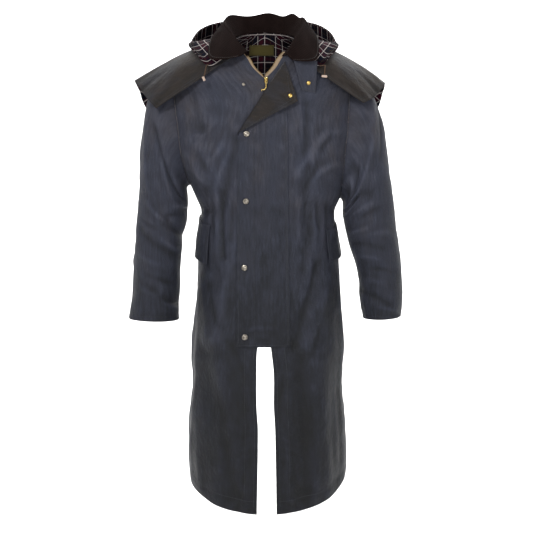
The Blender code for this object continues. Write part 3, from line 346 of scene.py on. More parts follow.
CAPE = [
    # turn, neck degrees, fold x, y, z, hem x, y, z
    (0.00, -22.0, -0.160, -0.120, -0.108, -0.281, -0.104, -0.187),
    (0.06, -34.0, -0.196, -0.092, -0.070, -0.316, -0.066, -0.150),
    (0.13, -58.0, -0.212, -0.040, -0.044, -0.339, -0.022, -0.119),
    (0.20, -88.0, -0.214, 0.008, -0.036, -0.350, 0.022, -0.109),
    (0.27, -112.0, -0.206, 0.056, -0.046, -0.343, 0.078, -0.132),
    (0.34, -134.0, -0.180, 0.098, -0.080, -0.318, 0.126, -0.190),
    (0.42, -157.0, -0.104, 0.128, -0.128, -0.180, 0.160, -0.300),
    (0.50, -180.0, 0.000, 0.132, -0.142, 0.000, 0.166, -0.330),
    (0.58, -203.0, 0.102, 0.128, -0.128, 0.172, 0.160, -0.300),
    (0.66, -226.0, 0.174, 0.098, -0.080, 0.300, 0.126, -0.192),
    (0.73, -248.0, 0.198, 0.056, -0.048, 0.320, 0.078, -0.140),
    (0.80, -272.0, 0.204, 0.008, -0.040, 0.323, 0.022, -0.116),
    (0.87, -302.0, 0.200, -0.040, -0.048, 0.312, -0.026, -0.128),
    (0.94, -326.0, 0.182, -0.092, -0.072, 0.286, -0.070, -0.156),
    (1.00, -338.0, 0.150, -0.122, -0.104, 0.254, -0.108, -0.174),
]
CAPE_SIZE = (1.25, 0.24)
CAPE_FOLDS = [
    # turn0, fall0, turn1, fall1 as shares; half width and three depths in mm
    (0.045, 0.7, 0.03, 1, 14, 0, 3, 4),
    (0.09, 0.66, 0.085, 1, 16, 0, -3, -4),
    (0.15, 0.6, 0.145, 1, 18, 0, 3, 3),
    (0.215, 0.62, 0.225, 1, 16, 0, -2.6, -3),
    (0.3, 0.5, 0.29, 1, 18, 0, 3.6, 4),
    (0.36, 0.45, 0.35, 1, 18, 0, 4, 5),
    (0.405, 0.55, 0.4, 1, 15, 0, 3.6, 4),
    (0.455, 0.5, 0.46, 1, 16, 0, 4, 5),
    (0.54, 0.5, 0.545, 1, 16, 0, 3.8, 5),
    (0.6, 0.55, 0.602, 1, 15, 0, 3.6, 4),
    (0.65, 0.48, 0.655, 1, 18, 0, 3.6, 4),
    (0.71, 0.52, 0.718, 1, 17, 0, 3.4, 4),
    (0.785, 0.62, 0.79, 1, 16, 0, -2.6, -3),
    (0.85, 0.62, 0.856, 1, 17, 0, 2.8, 3),
    (0.905, 0.66, 0.912, 1, 15, 0, -2.8, -3),
    (0.958, 0.7, 0.968, 1, 14, 0, 2.8, 3),
]

HOOD = [
    # turn, lean, floor, clear, outer x, y, z, rim x, y, z
    (0.000, 0.10, 0.22, 0.0032, 0.134, -0.1190, -0.0790, 0.150, -0.1180, -0.079),
    (0.100, 0.12, 0.24, 0.0044, 0.155, -0.1080, -0.060, 0.172, -0.1040, -0.056),
    (0.250, 0.14, 0.26, 0.0060, 0.181, -0.0480, -0.020, 0.199, -0.0360, -0.024),
    (0.400, 0.15, 0.29, 0.0080, 0.190, 0.0300, -0.014, 0.201, 0.0380, -0.005),
    (0.600, 0.17, 0.38, 0.0120, 0.188, 0.1240, -0.016, 0.177, 0.0960, 0.037),
    (0.800, 0.21, 0.48, 0.0180, 0.122, 0.1980, -0.046, 0.116, 0.1420, 0.063),
    (1.000, 0.26, 0.56, 0.0200, 0.000, 0.2240, -0.064, 0.000, 0.1680, 0.068),
]
HOOD_LEFT = (0.965, 1.0, -0.003)
HOOD_SIZE = (0.95, 0.33)
HOOD_FOLDS = [
    # turn0, rise0, turn1, rise1 as shares; half width and three depths in mm
    (0.22, 0.55, 0.25, 0.9, 12, 0, 2.6, 0),
    (0.31, 0.5, 0.33, 0.92, 14, 0, -3.4, 0),
    (0.38, 0.48, 0.4, 0.9, 14, 0, 4, 0),
    (0.45, 0.5, 0.46, 0.88, 14, 0, -3.6, 0),
    (0.56, 0.5, 0.55, 0.9, 14, 0, -3.6, 0),
    (0.62, 0.48, 0.61, 0.9, 14, 0, 4, 0),
    (0.69, 0.52, 0.67, 0.92, 13, 0, -3.2, 0),
    (0.78, 0.55, 0.76, 0.9, 12, 0, 2.6, 0),
]

COLLAR = [
    # degrees, roll x, y, z, edge x, y, z
    (14.0, 0.047, -0.112, -0.043, 0.063, -0.1240, -0.056),
    (27.0, 0.068, -0.094, -0.019, 0.102, -0.1390, -0.066),
    (52.0, 0.088, -0.061, 0.010, 0.143, -0.1350, -0.060),
    (84.0, 0.104, -0.012, 0.038, 0.142, -0.0640, -0.010),
    (112.0, 0.098, 0.036, 0.060, 0.130, 0.032, 0.016),
    (146.0, 0.060, 0.070, 0.070, 0.080, 0.092, 0.026),
    (180.0, 0.000, 0.080, 0.072, 0.000, 0.104, 0.028),
]
COLLAR_LEFT = [
    # degrees, how far the wearer's left leaf differs: roll x, z, edge x, z
    (14.0, 0.009, -0.008, 0.006, -0.009),
    (27.0, 0.004, -0.002, -0.005, -0.005),
    (52.0, 0.000, 0.000, -0.010, -0.004),
    (84.0, 0.000, 0.000, -0.004, 0.000),
    (180.0, 0.000, 0.000, 0.000, 0.000),
]
COLLAR_ROLLS = (0.0020, 0.0042)
COLLAR_WAVE = 0.0042
COLLAR_SEAM_RISE = 0.0028
COLLAR_CROWDING = 0.45

FLAP_SEAM_X = 0.0665
FLAP_EDGE_X = -0.0725
FLAP_BOTTOM_Z = -0.803
FLAP_FOLD_LOW = (-0.0700, -0.262)
FLAP_FOLD_TOP = (0.0560, -0.070)
FLAP_CORNER = (-0.0560, -0.080)
FLAP_ROLL = 0.0030
FLAP_LIFT = 0.0018
FLAP_FOLD_ROW = 18 / 26
FLAP_ROLL_SHARE = 3 / 8
FLAP_FOLDS = [
    # x0, z0, x1, z1 in metres; half width and three depths in mm
    (-0.027, -0.29, -0.027, -0.8, 2.6, -0.8, -0.8, -0.8),
    (0.061, -0.075, 0.061, -0.8, 2.4, -0.7, -0.7, -0.7),
    (-0.047, -0.765, -0.0285, -0.753, 6, 0, 2.2, 1),
    (-0.0285, -0.753, 0.039, -0.756, 6, 1, 2.4, 0),
    (-0.029, -0.784, 0.026, -0.789, 5.5, 0, -2, 0),
    (-0.06, -0.33, -0.038, -0.4, 8, 0, 1.8, 0),
    (-0.056, -0.47, -0.042, -0.55, 8, 0, -1.6, 0),
    (-0.064, -0.64, -0.04, -0.71, 8, 0, 1.8, 0),
    (0.046, -0.26, 0.026, -0.36, 9, 0, 2, 0),
    (0.03, -0.43, 0.042, -0.53, 10, 0, -1.8, 0),
    (0.008, -0.3, -0.01, -0.44, 10, 0, 1.8, 0),
    (0.046, -0.58, 0.016, -0.7, 11, 0, 2.2, 0),
    (-0.01, -0.56, 0.006, -0.66, 10, 0, -1.8, 0),
    (0.044, -0.15, 0, -0.23, 9, 0, 1.8, 0),
]

FLAP_SNAPS = [
    # x, z
    (-0.0470, -0.254),
    (-0.0485, -0.425),
    (-0.0524, -0.5986),
    (-0.0514, -0.777),
]
SNAP_RADIUS = 0.0078
SOCKET_RADIUS = 0.0052
FLAP_SOCKET = (0.0640, -0.158)
THROAT_STUD = (-0.0545, -0.1275)
THROAT_STUD_RADIUS = 0.0042
TAB_CORNERS = [
    # x, y, z: top inner, top outer, bottom outer, bottom inner
    (0.072, -0.1225, -0.060),
    (0.134, -0.1290, -0.068),
    (0.130, -0.1225, -0.150),
    (0.094, -0.1280, -0.143),
]
TAB_BULGE = 0.0020
TAB_SOCKET = (0.55, 0.72)

POCKETS = {
    # side: front x, top z, bottom z, side angle, rise towards the side, lift of the seam
    RIGHT: (-0.141, -0.491, -0.594, 101.0, 0.026, 0.0028),
    LEFT: (0.159, -0.503, -0.588, 101.0, 0.020, 0.0014),
}
POCKET_LIFT = 0.0060

# Hood cords: their radius and the route of each free end
CORD_RADIUS = 0.0015
BRAID = 1400
CORDS = {
    RIGHT: [
        # x, y, z
        (-0.1441, -0.1217, -0.0767),
        (-0.1490, -0.1262, -0.0790),
        (-0.1500, -0.1312, -0.0835),
        (-0.1512, -0.1352, -0.0890),
        (-0.1524, -0.1378, -0.0955),
        (-0.1534, -0.1396, -0.1020),
        (-0.1545, -0.1410, -0.1080),
    ],
    LEFT: [
        # x, y, z
        (0.1391, -0.1217, -0.0799),
        (0.1530, -0.1262, -0.0790),
        (0.1535, -0.1308, -0.0830),
        (0.1532, -0.1342, -0.0880),
        (0.1526, -0.1366, -0.0935),
        (0.1520, -0.1384, -0.0990),
        (0.1516, -0.1396, -0.1044),
    ],
}
TOGGLES = {
    # side: length, radius, turn from upright in degrees
    RIGHT: (0.0120, 0.0034, 24.0),
    LEFT: (0.0150, 0.0032, 84.0),
}

TAPE_REACH = {RIGHT: 0.0075, LEFT: 0.0125}
LINING_SPAN = 142.0
LINING_FOOT_Z = -0.150
LINING_TOP_GAP = 0.0040
LABEL_X = (-0.044, 0.025)
LABEL_Z = (-0.005, -0.034)

# Topstitching: 5 mm apart and 3.4 mm long, drawn coarser than the real 3 mm stitches
STITCH_PITCH = 0.0050
STITCH_SIZE = (0.0034, 0.0009, 0.0007)

# The photograph's camera: 80 mm on a 36 mm frame, level with the chest, looking down
CAMERA_PLACE = (0.004, -3.2, -0.33)
CAMERA_PITCH = 4.93
CAMERA_LENS = 80.35
FLOOR_Z = -1.42


# Arithmetic on many points at once


def mix(start, end, share):
    return start + (end - start) * share


def ease(share):
    share = np.clip(share, 0.0, 1.0)
    return share * share * (3 - 2 * share)


def stack(x, y, z):
    return np.stack(np.broadcast_arrays(x, y, z), axis=-1).astype(float)


def unit(vectors):
    return vectors / np.maximum(np.linalg.norm(vectors, axis=-1, keepdims=True), 1e-12)


def between(start, end, share):
    """Points between two sets of points, by a share for each."""
    return start + (end - start) * np.asarray(share)[..., None]


def smooth_between(keys, values, place):
    """Values between keyed rows on one smooth curve; values has a row for each key."""
    keys = np.asarray(keys, float)
    last = len(keys) - 1
    sign = 1.0 if keys[-1] > keys[0] else -1.0
    keys = keys * sign
    place = np.clip(place * sign, keys[0], keys[-1])
    low = np.clip(np.searchsorted(keys, place) - 1, 0, last - 1)
    high = low + 1
    before = np.maximum(low - 1, 0)
    after = np.minimum(high + 1, last)
    span = keys[high] - keys[low]
    t = ((place - keys[low]) / span)[:, None]
    if values.ndim == 3:
        own = np.arange(len(place))
        row = {index: values[pick, own] for index, pick in
               (("low", low), ("high", high), ("before", before), ("after", after))}
    else:
        row = {index: values[pick] for index, pick in
               (("low", low), ("high", high), ("before", before), ("after", after))}
    leave = (row["high"] - row["before"]) * (span / (keys[high] - keys[before]))[:, None]
    reach = (row["after"] - row["low"]) * (span / (keys[after] - keys[low]))[:, None]
    return (
        row["low"] * (1 + 2 * t) * (1 - t) ** 2
        + leave * t * (1 - t) ** 2
        + row["high"] * t * t * (3 - 2 * t)
        + reach * t * t * (t - 1)
    )


def read(table, place):
    """The columns of a table at places between its rows."""
    rows = np.array(table, float)
    place = np.asarray(place, float)
    return smooth_between(rows[:, 0], rows[:, 1:], place.ravel()).T


def slope_normal(point, u, v, du, dv):
    across = point(u + du, v) - point(u - du, v)
    along = point(u, v + dv) - point(u, v - dv)
    return unit(np.cross(across, along))


CHANCE = np.random.default_rng(41).random(8192)


def crumple(points, size, seed):
    """Smooth uneven relief from -1 to 1, with about one bump to each size."""
    place = points / size
    corner = np.floor(place).astype(np.int64)
    part = place - corner
    part = part * part * (3 - 2 * part)
    total = np.zeros(len(points))
    for step in range(8):
        offset = np.array((step & 1, step >> 1 & 1, step >> 2 & 1))
        key = (corner + offset) @ np.array((7919, 104729, 1299709)) + seed * 15485863
        weight = np.prod(np.where(offset == 1, part, 1 - part), axis=1)
        total += weight * CHANCE[key % len(CHANCE)]
    return 2 * total - 1


def unevenness(points, shift, share=1.0):
    """The finest relief of the cloth; shift sets each piece's own pattern."""
    return sum(
        height * share * crumple(points, size, seed + shift) for size, height, seed in CRUMPLES
    )


def ridges(rows, x, y):
    """Height of soft ridges and troughs along lines of a plane, in metres."""
    total = np.zeros(len(x))
    for x0, y0, x1, y1, bow, width, start, middle, end in rows:
        run = np.array((x1 - x0, y1 - y0))
        length = math.hypot(*run)
        offset = np.stack((x - x0, y - y0), axis=-1)
        share = np.clip(offset @ run / length ** 2, 0, 1)
        side = np.array((-run[1], run[0])) / length
        line = share[:, None] * run + side * (4 * bow * share * (1 - share))[:, None]
        away = np.linalg.norm(offset - line, axis=1) / width
        depth = (
            start * (1 - share) * (1 - 2 * share)
            + middle * 4 * share * (1 - share)
            + end * share * (2 * share - 1)
        )
        total += depth * np.exp(-away ** 1.7)
    return total


def piece_folds(rows, size, bow, u, v):
    """Ridges of a piece from rows in shares of its size, with one bow for all."""
    wide, tall = size
    scaled = [
        (u0 * wide, v0 * tall, u1 * wide, v1 * tall, bow, *(value * MM for value in rest))
        for u0, v0, u1, v1, *rest in rows
    ]
    return ridges(scaled, u * wide, v * tall)


# The body


def skin(angle, z):
    right, left, front, back, power = read(BODY, z)
    sine = np.sin(angle)
    cosine = np.cos(angle)
    reach = (np.abs(sine) ** power + np.abs(cosine) ** power) ** (-1 / power)
    wide = np.where(sine > 0, left, right)
    deep = np.where(cosine > 0, front, back)
    return stack(wide * sine * reach, -deep * cosine * reach, z)


def angle_at_x(x, z, face="front"):
    right, left, _, _, power = read(BODY, z)
    share = np.minimum(np.abs(x) / np.where(x > 0, left, right), 1.0)
    angle = np.arctan2(share, (1 - share ** power) ** (1 / power))
    if face == "back":
        angle = math.pi - angle
    return np.copysign(angle, x)


def angle_at_y(side, y, z):
    _, _, front, back, power = read(BODY, z)
    share = np.minimum(np.abs(y) / np.where(y < 0, front, back), 1.0)
    angle = np.arctan2((1 - share ** power) ** (1 / power), share)
    return side * np.where(y > 0, math.pi - angle, angle)


def body_folds(points):
    """How far the folds and the cloth's unevenness move points of the body outwards."""
    x, y, z = points.T
    faces = {
        "front": (y < 0, x), "back": (y >= 0, x), "right": (x < 0, y), "left": (x >= 0, y),
    }
    total = np.zeros(len(points))
    for face, (mask, across) in faces.items():
        total[mask] += ridges(np.array(FOLDS[face]) * MM, across[mask], z[mask])
    return total + unevenness(points, 0, ease((-0.10 - z) / 0.06))


def body_normal(angle, z):
    return slope_normal(skin, angle, z, 0.004, 0.001)


def body(angle, z, out=0.0):
    point = skin(angle, z)
    lift = body_folds(point) + out
    return point + body_normal(angle, z) * lift[:, None]


def neck_z(degrees):
    degrees = np.abs(degrees) % 360
    return read(NECKLINE, np.minimum(degrees, 360 - degrees))[0]


def neck(degrees, out):
    """The neckline, where the cloth has no folds."""
    angle = np.radians(degrees)
    z = neck_z(degrees)
    return skin(angle, z) + body_normal(angle, z) * out


def armhole(side, turn):
    z0, half_height, y0, half_depth = ARMHOLES[side]
    z = z0 + half_height * np.cos(turn)
    y = y0 - half_depth * np.sin(turn)
    return z, angle_at_y(side, y, z)


def panel(side, face, u, v, out):
    """A point of one front or back panel: u from its edge to its side, v upwards."""
    front = face == "front"
    column = 1 if side == LEFT else 0
    edges = FRONT_EDGES if front else BACK_EDGES
    z_armhole, half_height, _, _ = ARMHOLES[side]
    armpit = z_armhole - half_height
    turn_round = side * 2 * math.pi

    rise = np.clip(v / ARMPIT_ROW, 0, 1) ** ROW_CROWDING
    inner_z = mix(HEM[5][1] if front else HEM[0][1], CHEST_Z, rise)
    inner_angle = angle_at_x(read(edges, inner_z)[column], inner_z, face)
    if not front:
        inner_angle = np.where(inner_angle * side < 0, inner_angle + turn_round, inner_angle)
    angle_low = mix(inner_angle, side * math.pi / 2, u)
    wrapped = (np.degrees(angle_low) + 180) % 360 - 180
    hem = read(HEM, wrapped)[0]
    z_low = mix(hem, mix(CHEST_Z, armpit, u), rise)

    rise = np.clip((v - ARMPIT_ROW) / (1 - ARMPIT_ROW), 0, 1)
    turn = math.pi * (1 - rise)
    outer_z, outer_angle = armhole(side, turn if front else -turn)
    if front:
        chest_z = mix(CHEST_Z, NECKLINE[0][1], np.minimum(rise / V_SHARE, 1))
        chest_angle = angle_at_x(read(edges, chest_z)[column], chest_z, face)
        along = np.clip((rise - V_SHARE) / (1 - V_SHARE), 0, 1)
        start_x = np.array([edges[0][column + 1]])
        start = abs(math.degrees(angle_at_x(start_x, np.array([NECKLINE[0][1]]))[0]))
        degrees = mix(start, 90, along ** 1.6)
        closed = rise < V_SHARE
        inner_z = np.where(closed, chest_z, neck_z(degrees))
        inner_angle = np.where(closed, chest_angle, side * np.radians(degrees))
    else:
        along = np.clip(rise - BACK_SEAM_SHARE, 0, 1) / (1 - BACK_SEAM_SHARE)
        chest_z = mix(CHEST_Z, NECKLINE[-1][1], np.minimum(rise / BACK_SEAM_SHARE, 1))
        degrees = mix(180, 90, along)
        closed = along <= 0
        inner_z = np.where(closed, chest_z, neck_z(degrees))
        centre = side * (math.pi - BACK_SEAM_TURN)
        inner_angle = np.where(closed, centre, side * np.radians(degrees))
    low = v <= ARMPIT_ROW
    angle = np.where(low, angle_low, mix(inner_angle, outer_angle, u))
    z = np.where(low, z_low, mix(inner_z, outer_z, u))
    if front:
        angle = side * np.minimum(side * angle, math.pi / 2)
    else:
        angle = side * np.maximum(side * angle, math.pi / 2)
    return body(angle, z, out + panel_relief(front, u, z - hem, z))


# Hem and facings: how wide each turned edge is and how far it stands up
HEM_BAND = 0.026
FACING_BAND = 0.024
BAND_RISE = 0.0009
PUCKER_PITCH = 0.030
PUCKER_RISE = 0.0007


def panel_relief(front, u, above_hem, z):
    """The turned hem, the facing along the edge, and the puckers beside its stitching."""
    from_edge = u * PANEL_WIDTH
    band = ease((HEM_BAND - above_hem) / 0.004)
    facing = ease((FACING_BAND - from_edge) / 0.004)
    if not front:
        facing = facing * ease((-0.56 - z) / 0.02)
    ripple = np.sin(z / PUCKER_PITCH * 2 * math.pi + 3 * np.sin(z * 37 + from_edge * 60))
    ripple = ripple * (0.6 + 0.4 * np.sin(z * 11 + 2))
    beside = np.exp(-((from_edge - FACING_BAND) / 0.013) ** 2) * ease((-0.60 - z) / 0.1)
    along_hem = np.sin(u * 31 + 3 * np.sin(u * 9))
    over_hem = np.exp(-((above_hem - HEM_BAND) / 0.014) ** 2)
    return (
        BAND_RISE * np.maximum(band, facing)
        + PUCKER_RISE * ripple * beside
        + 0.8 * PUCKER_RISE * along_hem * over_hem
    )


# Sleeves


def sleeve_skin(side, turn, along):
    outer_x, outer_z, inner_x, inner_z, depth, centre_y = read(SLEEVES[side], along)
    outer = stack(outer_x, centre_y, outer_z)
    inner = stack(inner_x, centre_y, inner_z)
    angle = turn * 2 * math.pi
    point = (outer + inner) / 2 + (outer - inner) / 2 * np.cos(angle)[:, None]
    point[:, 1] -= depth * np.sin(angle)
    near = along < ARMHOLE_BLEND
    if near.any():
        z, body_angle = armhole(side, angle[near])
        start = body(body_angle, z) + np.array((side * 0.8 * EASE, 0, 0))
        point[near] = between(point[near], start, (1 - along[near] / ARMHOLE_BLEND) ** 2)
    return point


CUFF_BAND = 0.976


def sleeve(side, turn, along, out):
    along = np.maximum(along, 0.0)

    def skin_here(around, down):
        return sleeve_skin(side, around, np.maximum(down, 0.0))

    point = skin_here(turn, along)
    normal = slope_normal(skin_here, turn, along, 0.004, 0.004) * side
    near = along < ARMHOLE_BLEND
    if near.any():
        z, body_angle = armhole(side, turn[near] * 2 * math.pi)
        from_armpit = np.abs(turn[near] % 1.0 - 0.5)
        share = (1 - along[near] / ARMHOLE_BLEND) ** 2 * ease((from_armpit - 0.06) / 0.10)
        normal[near] = unit(between(normal[near], body_normal(body_angle, z), share))
    ring = (read(SLEEVES[side], along)[4] + 0.066) * math.pi
    lift = piece_folds(
        SLEEVE_FOLDS[side], SLEEVE_SIZE, 0.004, turn * ring / ring.mean(), along
    )
    lift += unevenness(point, side)
    lift *= ease(along / ARMHOLE_BLEND)
    lift += BAND_RISE * ease((along - CUFF_BAND) / 0.006)
    return point + normal * (lift + out)[:, None]


# Cape, hood and collar


def cape_skin(turn, fall):
    degrees, fold_x, fold_y, fold_z, hem_x, hem_y, hem_z = read(CAPE, turn)
    start = neck(degrees, SHELL + EASE)
    fold = stack(fold_x, fold_y, fold_z)
    hem = stack(hem_x, hem_y, hem_z)
    bend = fold * 2 - (start + hem) / 2
    fall = fall[:, None]
    return start * (1 - fall) ** 2 + bend * 2 * fall * (1 - fall) + hem * fall ** 2


def cape(turn, fall, out):
    """A point of the cape's outer face, without its folds."""
    normal = slope_normal(cape_skin, turn, fall, 0.004, 0.01)
    return cape_skin(turn, fall) + normal * np.asarray(out)[..., None]


def cape_cloth(turn, fall, out):
    point = cape_skin(turn, fall)
    free = ease((fall - 0.5) / 0.3)
    lift = piece_folds(CAPE_FOLDS, CAPE_SIZE, 0.002, turn, fall)
    lift += unevenness(point, 5, 0.7 * free)
    edge = np.minimum(np.minimum(turn, 1 - turn) * CAPE_SIZE[0], (1 - fall) * CAPE_SIZE[1])
    lift += 0.6 * BAND_RISE * ease((0.012 - edge) / 0.003)
    normal = slope_normal(cape_skin, turn, fall, 0.004, 0.01)
    return point + normal * (lift + out)[:, None]


def hood_skin(turn, rise):
    half = np.minimum(2 * turn, 2 - 2 * turn)
    side = np.where(turn < 0.5, RIGHT, LEFT)
    lean, floor, clear, outer_x, outer_y, outer_z, rim_x, rim_y, rim_z = read(HOOD, half)
    left = side == LEFT
    scale = np.where(left, HOOD_LEFT[0], 1.0)
    drop = np.where(left, HOOD_LEFT[2], 0.0) * (1 - half)
    seat = 0.010 + 0.980 * turn
    rows = np.stack((
        cape(seat, np.full_like(turn, 0.02), EASE),
        cape(seat, lean, 0.5 * (EASE + clear)),
        cape(seat, floor, clear),
        stack(side * outer_x * scale, outer_y, outer_z + drop),
        stack(side * rim_x * scale, rim_y, rim_z + drop),
    ))
    return smooth_between((0.00, 0.22, 0.50, 0.80, 1.00), rows, rise)


RIM_BAND = 0.93


def hood(turn, rise, out):
    rise = np.clip(rise, 0.0, 1.0)
    point = hood_skin(turn, rise)
    normal = -slope_normal(hood_skin, turn, rise, 0.004, 0.01)
    lift = piece_folds(HOOD_FOLDS, HOOD_SIZE, 0.002, turn, rise)
    free = ease((rise - 0.55) / 0.2)
    lift += unevenness(point, 9, 0.6 * free)
    lift += 0.8 * BAND_RISE * ease((rise - RIM_BAND) / 0.02)
    return point + normal * (lift + out)[:, None]


def collar_skin(turn, rise):
    degrees = mix(-COLLAR[0][0], COLLAR[0][0] - 360, turn)
    half = np.minimum(np.abs(degrees), 360 - np.abs(degrees))
    side = np.where(turn < 0.5, RIGHT, LEFT)
    roll_x, roll_y, roll_z, edge_x, edge_y, edge_z = read(COLLAR, half)
    shift = [np.where(side == LEFT, move, 0.0) for move in read(COLLAR_LEFT, half)]
    roll_x, roll_z = roll_x + shift[0], roll_z + shift[1]
    edge_x, edge_z = edge_x + shift[2], edge_z + shift[3]
    wave = np.sin(turn * 44 + 2.2 * np.sin(turn * 9)) * ease((half - 60) / 80)
    wave = COLLAR_WAVE * wave
    seam = neck(degrees, -0.5 * SHELL) + np.array((0, 0, COLLAR_SEAM_RISE))
    roll = stack(side * roll_x, roll_y, roll_z + wave)
    edge = stack(side * edge_x, edge_y, edge_z)
    radius = mix(*COLLAR_ROLLS, ease((half - COLLAR[0][0]) / 70))[:, None]
    away = unit(stack(roll[:, 0], roll[:, 1] - 0.006, 0)) * radius
    drop = radius * np.array((0, 0, 1.0))
    rows = np.stack((seam, roll - away - drop, roll, roll + away - drop, edge))
    return smooth_between((0.00, 0.38, 0.46, 0.54, 1.00), rows, rise)


def collar(turn, rise, out):
    turn = turn - COLLAR_CROWDING * np.sin(2 * math.pi * turn) / (2 * math.pi)
    point = collar_skin(turn, rise)
    normal = slope_normal(collar_skin, turn, rise, 0.004, 0.01)
    free = ease((rise - 0.62) / 0.2)
    lift = 0.0010 * free * crumple(point, 0.035, 3)
    return point - normal * (out - lift)[:, None]


# Pieces that lie on the fronts


def front_point(x, z, out):
    return body(angle_at_x(x, z), z, out)


def flap_flat(u, v):
    edge = np.array((FLAP_EDGE_X, FLAP_BOTTOM_Z))
    seam = np.array((FLAP_SEAM_X, FLAP_BOTTOM_Z))
    low = np.array(FLAP_FOLD_LOW)
    top = np.array(FLAP_FOLD_TOP)
    corner = np.array(FLAP_CORNER)
    fold = between(top, low, u)
    below = between(between(seam, edge, u), fold, np.minimum(v / FLAP_FOLD_ROW, 1))
    far = np.where(
        (u < 0.5)[:, None], between(top, corner, u / 0.5), between(corner, low, u / 0.5 - 1)
    )
    reach = np.maximum(np.linalg.norm(far - fold, axis=1), 1e-6)
    rolled = np.minimum(math.pi * FLAP_ROLL / reach, FLAP_ROLL_SHARE)
    share = (v - FLAP_FOLD_ROW) / (1 - FLAP_FOLD_ROW)
    beyond = mix(rolled, 1.0, (share - FLAP_ROLL_SHARE) / (1 - FLAP_ROLL_SHARE))
    past = np.where(share <= FLAP_ROLL_SHARE, rolled * share / FLAP_ROLL_SHARE, beyond)
    above = between(fold, far, np.clip(past, 0, 1))
    return np.where((v <= FLAP_FOLD_ROW)[:, None], below, above)


def flap_fold(flat, out):
    """Place and height of flap points once everything past the fold line is rolled."""
    low = np.array(FLAP_FOLD_LOW)
    run = np.array(FLAP_FOLD_TOP) - low
    run = run / np.linalg.norm(run)
    past = np.array((-run[1], run[0]))
    distance = (flat - low) @ past
    base = SHELL + EASE + FLAP_LIFT * ease((FLAP_SEAM_X - flat[:, 0]) / 0.07)
    radius = FLAP_ROLL - out
    turned = np.clip(distance / FLAP_ROLL, 0, math.pi)
    beyond = distance - turned * FLAP_ROLL
    shift = radius * np.sin(turned) - beyond
    place = np.where(
        (distance <= 0)[:, None], flat, flat + past * (shift - distance)[:, None]
    )
    height = np.where(
        distance <= 0, base + out, base + FLAP_ROLL - radius * np.cos(turned)
    )
    return place, height


def flap(u, v, out):
    flat = flap_flat(u, v)
    place, height = flap_fold(flat, out)
    lift = piece_folds(FLAP_FOLDS, (1, 1), 0.001, *place.T)
    edge = np.minimum(flat[:, 0] - FLAP_EDGE_X, flat[:, 1] - FLAP_BOTTOM_Z)
    wave = np.sin(place[:, 1] / 0.041 * math.pi + 2 * np.sin(place[:, 1] * 19))
    lift += 0.0012 * wave * np.exp(-np.maximum(edge, 0) / 0.018)
    lift = np.where(v <= FLAP_FOLD_ROW, lift, 0.3 * np.abs(lift))
    return front_point(place[:, 0], place[:, 1], height + np.maximum(lift, -0.0010))


def tab_skin(u, v):
    top_in, top_out, low_out, low_in = np.array(TAB_CORNERS)
    place = between(between(top_in, top_out, u), between(low_in, low_out, u), v)
    place[:, 1] -= TAB_BULGE * np.sin(math.pi * v)
    return place


def tab(u, v, out=0.0):
    normal = slope_normal(tab_skin, u, v, 0.01, 0.01)
    return tab_skin(u, v) - normal * np.asarray(out)[..., None]


def pocket_flap(side, u, v, out):
    front_x, top, bottom, side_degrees, rise, seam = POCKETS[side]
    start = angle_at_x(np.array([front_x]), np.array([top]))[0]
    angle = mix(start, side * math.radians(side_degrees), u)
    z = mix(bottom, top, v) + rise * u
    lift = POCKET_LIFT * (1 - v) ** 1.5 * (1 - 0.5 * u)
    lift = lift + 0.0008 * np.sin(u * 17 + side) * (1 - v)
    return body(angle, z, SHELL + seam + lift + out)


def neck_degrees(z):
    low = np.zeros_like(z)
    high = np.full_like(z, 60.0)
    for _ in range(30):
        middle = (low + high) / 2
        short = neck_z(middle) < z
        low = np.where(short, middle, low)
        high = np.where(short, high, middle)
    return low


def zip_tape(side, u, v, out):
    z = mix(NECKLINE[0][1] + 0.004, -0.040, v)
    edge = skin(side * np.radians(neck_degrees(z)), z)
    x = edge[:, 0] - side * mix(-0.005, TAPE_REACH[side], u) * ease(0.35 + v * 4)
    x = side * np.maximum(side * x, 0.0005)
    return body(angle_at_x(x, z), z, -SHELL - 1.5 * EASE + out)


def back_lining(u, v, out):
    degrees = mix(LINING_SPAN, 360 - LINING_SPAN, u)
    z = mix(LINING_FOOT_Z, neck_z(degrees) - LINING_TOP_GAP, v)
    return body(np.radians(degrees), z, -SHELL - 2 * EASE + out)


def label(u, v, out):
    x = mix(LABEL_X[0], LABEL_X[1], u)
    z = mix(LABEL_Z[1], LABEL_Z[0], v)
    return body(angle_at_x(x, z, "back"), z, -SHELL - LINING - 3 * EASE + out)


# Finishes


def linear(colour):
    """An sRGB hex colour as the linear values that a shader takes."""
    channels = [int(colour[start:start + 2], 16) / 255 for start in (1, 3, 5)]
    channels = [c / 12.92 if c <= 0.04045 else ((c + 0.055) / 1.055) ** 2.4 for c in channels]
    return (*channels, 1.0)


def add(tree, kind, settings=None, inputs=None):
    """A node with its settings, and its inputs as values or as other nodes' outputs."""
    node = tree.nodes.new(kind)
    for name, value in (settings or {}).items():
        setattr(node, name, value)
    for name, value in (inputs or {}).items():
        if isinstance(value, bpy.types.NodeSocket):
            tree.links.new(value, node.inputs[name])
        else:
            node.inputs[name].default_value = value
    return node


def ramp(tree, factor, stops, interpolation="LINEAR"):
    """Colours by a factor; stops are rows of place and sRGB colour."""
    node = add(tree, "ShaderNodeValToRGB", None, {"Fac": factor})
    node.color_ramp.interpolation = interpolation
    elements = node.color_ramp.elements
    while len(elements) < len(stops):
        elements.new(1.0)
    for element, (place, colour) in zip(elements, stops):
        element.position = place
        element.color = linear(colour)
    return node.outputs["Color"]


